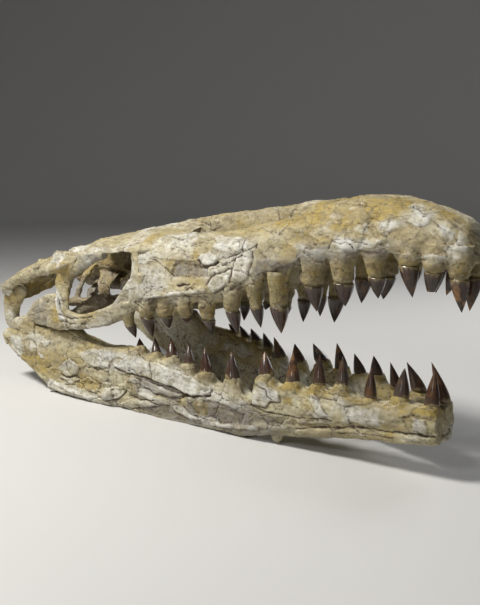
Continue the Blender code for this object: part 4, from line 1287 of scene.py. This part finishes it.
for side_name, hand, voxel, seed in (("right", -1, 0.0016, 51), ("left", 1, 0.0022, 67)):
    points, faces = grown(jaw_forms(hand), voxel, 3)
    inner = INNER_MARKS if hand > 0 else None
    points, masks = weathered(points, faces, seed, JAW_MARKS, fibre=0.0005, inner=inner)
    stain_rim(masks, points, JAW_TOP, 1, 0.40, 0.05)
    count = add_piece(f"{side_name}_jaw_skin", points, faces, masks, [JAW_BONE], [f"{side_name}_mandible"])
    print(side_name, "jaw", count, "triangles")
    points, faces = grown([quadrate_form(hand)], 0.0016, 4)
    points, masks = weathered(points, faces, seed + 5, {}, plates=0.7, ochre=0.35)
    add_piece(f"{side_name}_quadrate_skin", points, faces, masks, [CRANIUM_BONE], [f"{side_name}_quadrate"])

# %% [markdown]
# Teeth
#
# Every tooth stands on a flared, porous base of tan bone, and the enamel crown sits on it like a cap.
# Crowns are cones that curve back and in, with fine ridges that run to the point. No two of a row are
# alike: the table gives each its size, where the crown begins and where its point lies.


# %% Tooth form
def tooth(name, root, out, tip, crown_up, width, worn, seed, profile, broken):
    """One tooth as a grid of rings from the socket to the point. Gives its number of triangles.

    Below the crown the radius falls from a flare to a neck. The crown's radius is
    0.5*width*(1 - t^profile)^0.95 for t from 0 at its edge to 1 at the point, with shallow ridges
    cos(11*turn). The middle line leans with a power of the height, so the tooth is straighter at the
    bone and curved at the point. A broken tooth ends early, blunt.
    """
    around = 44
    start = max(out * (crown_up - root[2]), 0.002)
    tall = out * (tip[2] - root[2])
    root_rows = np.linspace(-0.006, start, 10)
    crown_rows = np.sin(np.linspace(0.0, np.pi / 2, 26)) * (1 - broken)
    level = np.concatenate([root_rows, start + (tall - start) * crown_rows])
    part = np.clip(level / tall, 0, 1)
    flare = 0.46 + (0.09 if start > 0.006 else 0.0) * (1 - np.clip(root_rows / start, 0, 1)) ** 2
    swell = 0.50 * (1 - crown_rows**profile) ** 0.95
    swell[-1] = 0.6 * swell[-1] if broken else 0.008
    radius = width * np.concatenate([flare, swell])
    turn = 2 * np.pi * np.arange(around) / around
    on_crown = np.concatenate([0 * root_rows, 0 * crown_rows + 1])
    ridge = 1 + 0.034 * on_crown[:, None] * np.cos(11 * turn) * np.sin(np.pi * part)[:, None]
    ring = np.stack([np.cos(turn), 0.88 * np.sin(turn)], axis=-1)
    grid = np.empty((len(level), around, 3))
    for axis in (0, 1):
        middle = root[axis] + (tip[axis] - root[axis]) * part**TOOTH_BEND
        grid[..., axis] = middle[:, None] + radius[:, None] * ridge * ring[:, axis]
    grid[..., 2] = (root[2] + out * level)[:, None]
    flat = grid.reshape(-1, 3)
    rough = np.repeat(np.where(on_crown > 0, 0.12, 1.0) * radius / radius.max(), around)
    lump = rough * (0.0012 * cloud(flat, 0.012, seed, 2) + 0.0008 * cloud(flat, 0.004, seed + 1, 2))
    flat[:, :2] += lump[:, None] * np.tile(ring, (len(level), 1))
    points, faces = closed_form(flat.reshape(grid.shape))
    if out > 0:
        faces = [face[::-1] for face in faces]
    rows = np.concatenate([np.repeat(level, around), level[[0, -1]]])
    rise = np.clip((rows - start) / (tall - start), 0, 1)
    masks = {
        "turn": np.concatenate([np.tile(np.abs(turn / np.pi - 1), len(level)), [0, 0]]), "rise": rise,
        "worn": worn * soft_step(cloud(points, 0.012, seed + 2, 3) + 0.8 * rise, 0.35, 0.75),
        "shade": np.full(len(points), (seed * 0.37) % 1.0),
        "ochre": 0.8 * soft_step(cloud(points, 0.010, seed + 3, 3), 0.0, 0.5),
        "white": 0.5 * soft_step(cloud(points, 0.012, seed + 4, 3), 0.2, 0.5), "grey": 0 * rise,
        "dirt_and_shade": 0.5 * soft_step(-cloud(points, 0.005, seed + 1, 2), 0.1, 0.6) * (rise <= 0)
        + 0.7 * np.exp(-(((rows - start) / 0.0010) ** 2)),
    }
    band = np.repeat(np.arange(len(level) - 1), around)
    on_crown = np.concatenate([band >= len(root_rows) - 1, np.zeros(around), np.ones(around)])
    return add_piece(f"{name}_skin", points, faces, masks, [ROOT_BONE, CROWN], [name],
                     on_crown.astype(np.int32))


LEAST_POINT_SIDE = 0.004  # a crown's point stays this far from the middle plane
BROKEN_TOOTH, BROKEN_SHARE = "upper_right_tooth_02", 0.28  # the photographed tooth that has lost its point
counts = []
for jaw, rows, line, widths, inset, out, profile in (
        ("upper", UPPER_TEETH, TOOTH_LINE, SNOUT_WIDTH, UPPER_INSET, -1, 1.55),
        ("lower", LOWER_TEETH, JAW_TOP, JAW_WIDTH, LOWER_INSET, 1, 1.35)):
    for side_name, hand in (("right", -1), ("left", 1)):
        for number, (back, width, crown_up, tip_back, tip_up, worn) in enumerate(rows, start=1):
            at = np.array([back])
            side = root_side(widths, inset, at)
            root = (SNOUT_X - back, hand * side, read(line, at)[0])
            if hand > 0 and jaw == "lower":
                tip_back, tip_up = FAR_LOWER_TIPS[number - 1]
            tip = (SNOUT_X - tip_back, hand * max(side - CROWN_INWARD, LEAST_POINT_SIDE), tip_up)
            seed = 100 + 31 * number + (7 if hand > 0 else 0) + (500 if out > 0 else 0)
            name = f"{jaw}_{side_name}_tooth_{number:02d}"
            broken = BROKEN_SHARE if name == BROKEN_TOOTH else 0.0
            counts.append(tooth(name, root, out, tip, crown_up, width, worn, seed, profile, broken))
print(len(counts), "teeth with", sum(counts), "triangles")

# %% [markdown]
# Floor, light and camera
#
# A pale floor bends up into a backdrop. A soft key light stands high on the left of the camera, a weak
# fill stands between the two, and a broad light behind the skull lifts its hidden side. The camera
# looks from in front of the near side, a little from above. Its place and its focal length were worked
# out from where known points of the skull lie in the photograph.


# %% Floor
def pale_floor():
    """A wide round floor that bends up through a quarter circle into a wall all round."""
    turn = np.linspace(0, np.pi / 2, 20)
    reach = np.concatenate([[0.02, 1.0, 3.0], 4.5 + 1.5 * np.sin(turn), [6.0]])
    rise = np.concatenate([[0.0, 0.0, 0.0], 1.5 - 1.5 * np.cos(turn), [5.0]])
    around = 2 * np.pi * np.arange(96) / 96
    grid = np.stack([reach[:, None] * np.cos(around), reach[:, None] * np.sin(around),
                     rise[:, None] + 0 * around], axis=-1)
    points, faces = closed_form(grid)
    mesh = mesh_from("pale_floor", points, faces[:-96])
    mesh.shade_smooth()
    finish, _, shader = new_finish("pale_paper")
    shader.inputs["Base Color"].default_value = (0.60, 0.59, 0.57, 1)
    shader.inputs["Roughness"].default_value = 0.9
    mesh.materials.append(finish)
    item = put_in_scene("pale_floor", mesh)
    return item


print("floor", triangles_of(pale_floor()), "triangles")


# %% Lights and camera
def lamp(name, place_at, aim, size, power, colour):
    """A square soft light aimed at a point."""
    data = bpy.data.lights.new(name, "AREA")
    data.shape = "SQUARE"
    data.size = size
    data.energy = power
    data.color = colour
    item = put_in_scene(name, data)
    item.location = place_at
    item.rotation_euler = (Vector(aim) - Vector(place_at)).to_track_quat("-Z", "Y").to_euler()


lamp("key_light", (-0.55, -1.00, 1.75), (-0.10, 0.0, 0.17), 0.50, 49.0, (1.0, 0.985, 0.95))
lamp("fill_light", (0.30, -1.45, 1.05), (0.1, 0.0, 0.12), 0.30, 4.0, (0.97, 0.98, 1.0))
lamp("back_light", (0.10, 1.60, 1.00), (-0.05, 0.0, 0.15), 0.90, 11.0, (0.96, 0.98, 1.0))
world = bpy.data.worlds.new("soft_room")
world.use_nodes = True
world.node_tree.nodes["Background"].inputs["Color"].default_value = (0.90, 0.93, 1.0, 1)
world.node_tree.nodes["Background"].inputs["Strength"].default_value = 0.11
bpy.context.scene.world = world


# %% Camera
EYE = (0.985, -0.904, 0.412)
PHOTO_HEIGHT = 605.0
FOCAL_LENGTH = 819.0  # in pixels of the photograph
MIDDLE_ROW = 302.5
HORIZON_ROW = 163.0  # the row that lies level with the camera
VIEW_TURN = math.atan2(0.725, 0.688)
VIEW_DROP = math.atan((MIDDLE_ROW - HORIZON_ROW) / FOCAL_LENGTH)
camera = bpy.data.cameras.new("camera")
camera.sensor_width = 36.0
camera.lens = FOCAL_LENGTH / PHOTO_HEIGHT * camera.sensor_width
eye = put_in_scene("camera", camera)
forward = Vector((-math.sin(VIEW_TURN) * math.cos(VIEW_DROP), math.cos(VIEW_TURN) * math.cos(VIEW_DROP),
                  -math.sin(VIEW_DROP)))
eye.location = EYE
eye.rotation_euler = forward.to_track_quat("-Z", "Y").to_euler()
bpy.context.scene.camera = eye
bpy.context.scene.view_settings.view_transform = "Standard"
print("camera", round(camera.lens, 2), "mm lens, turned", round(math.degrees(VIEW_TURN), 1), "degrees")
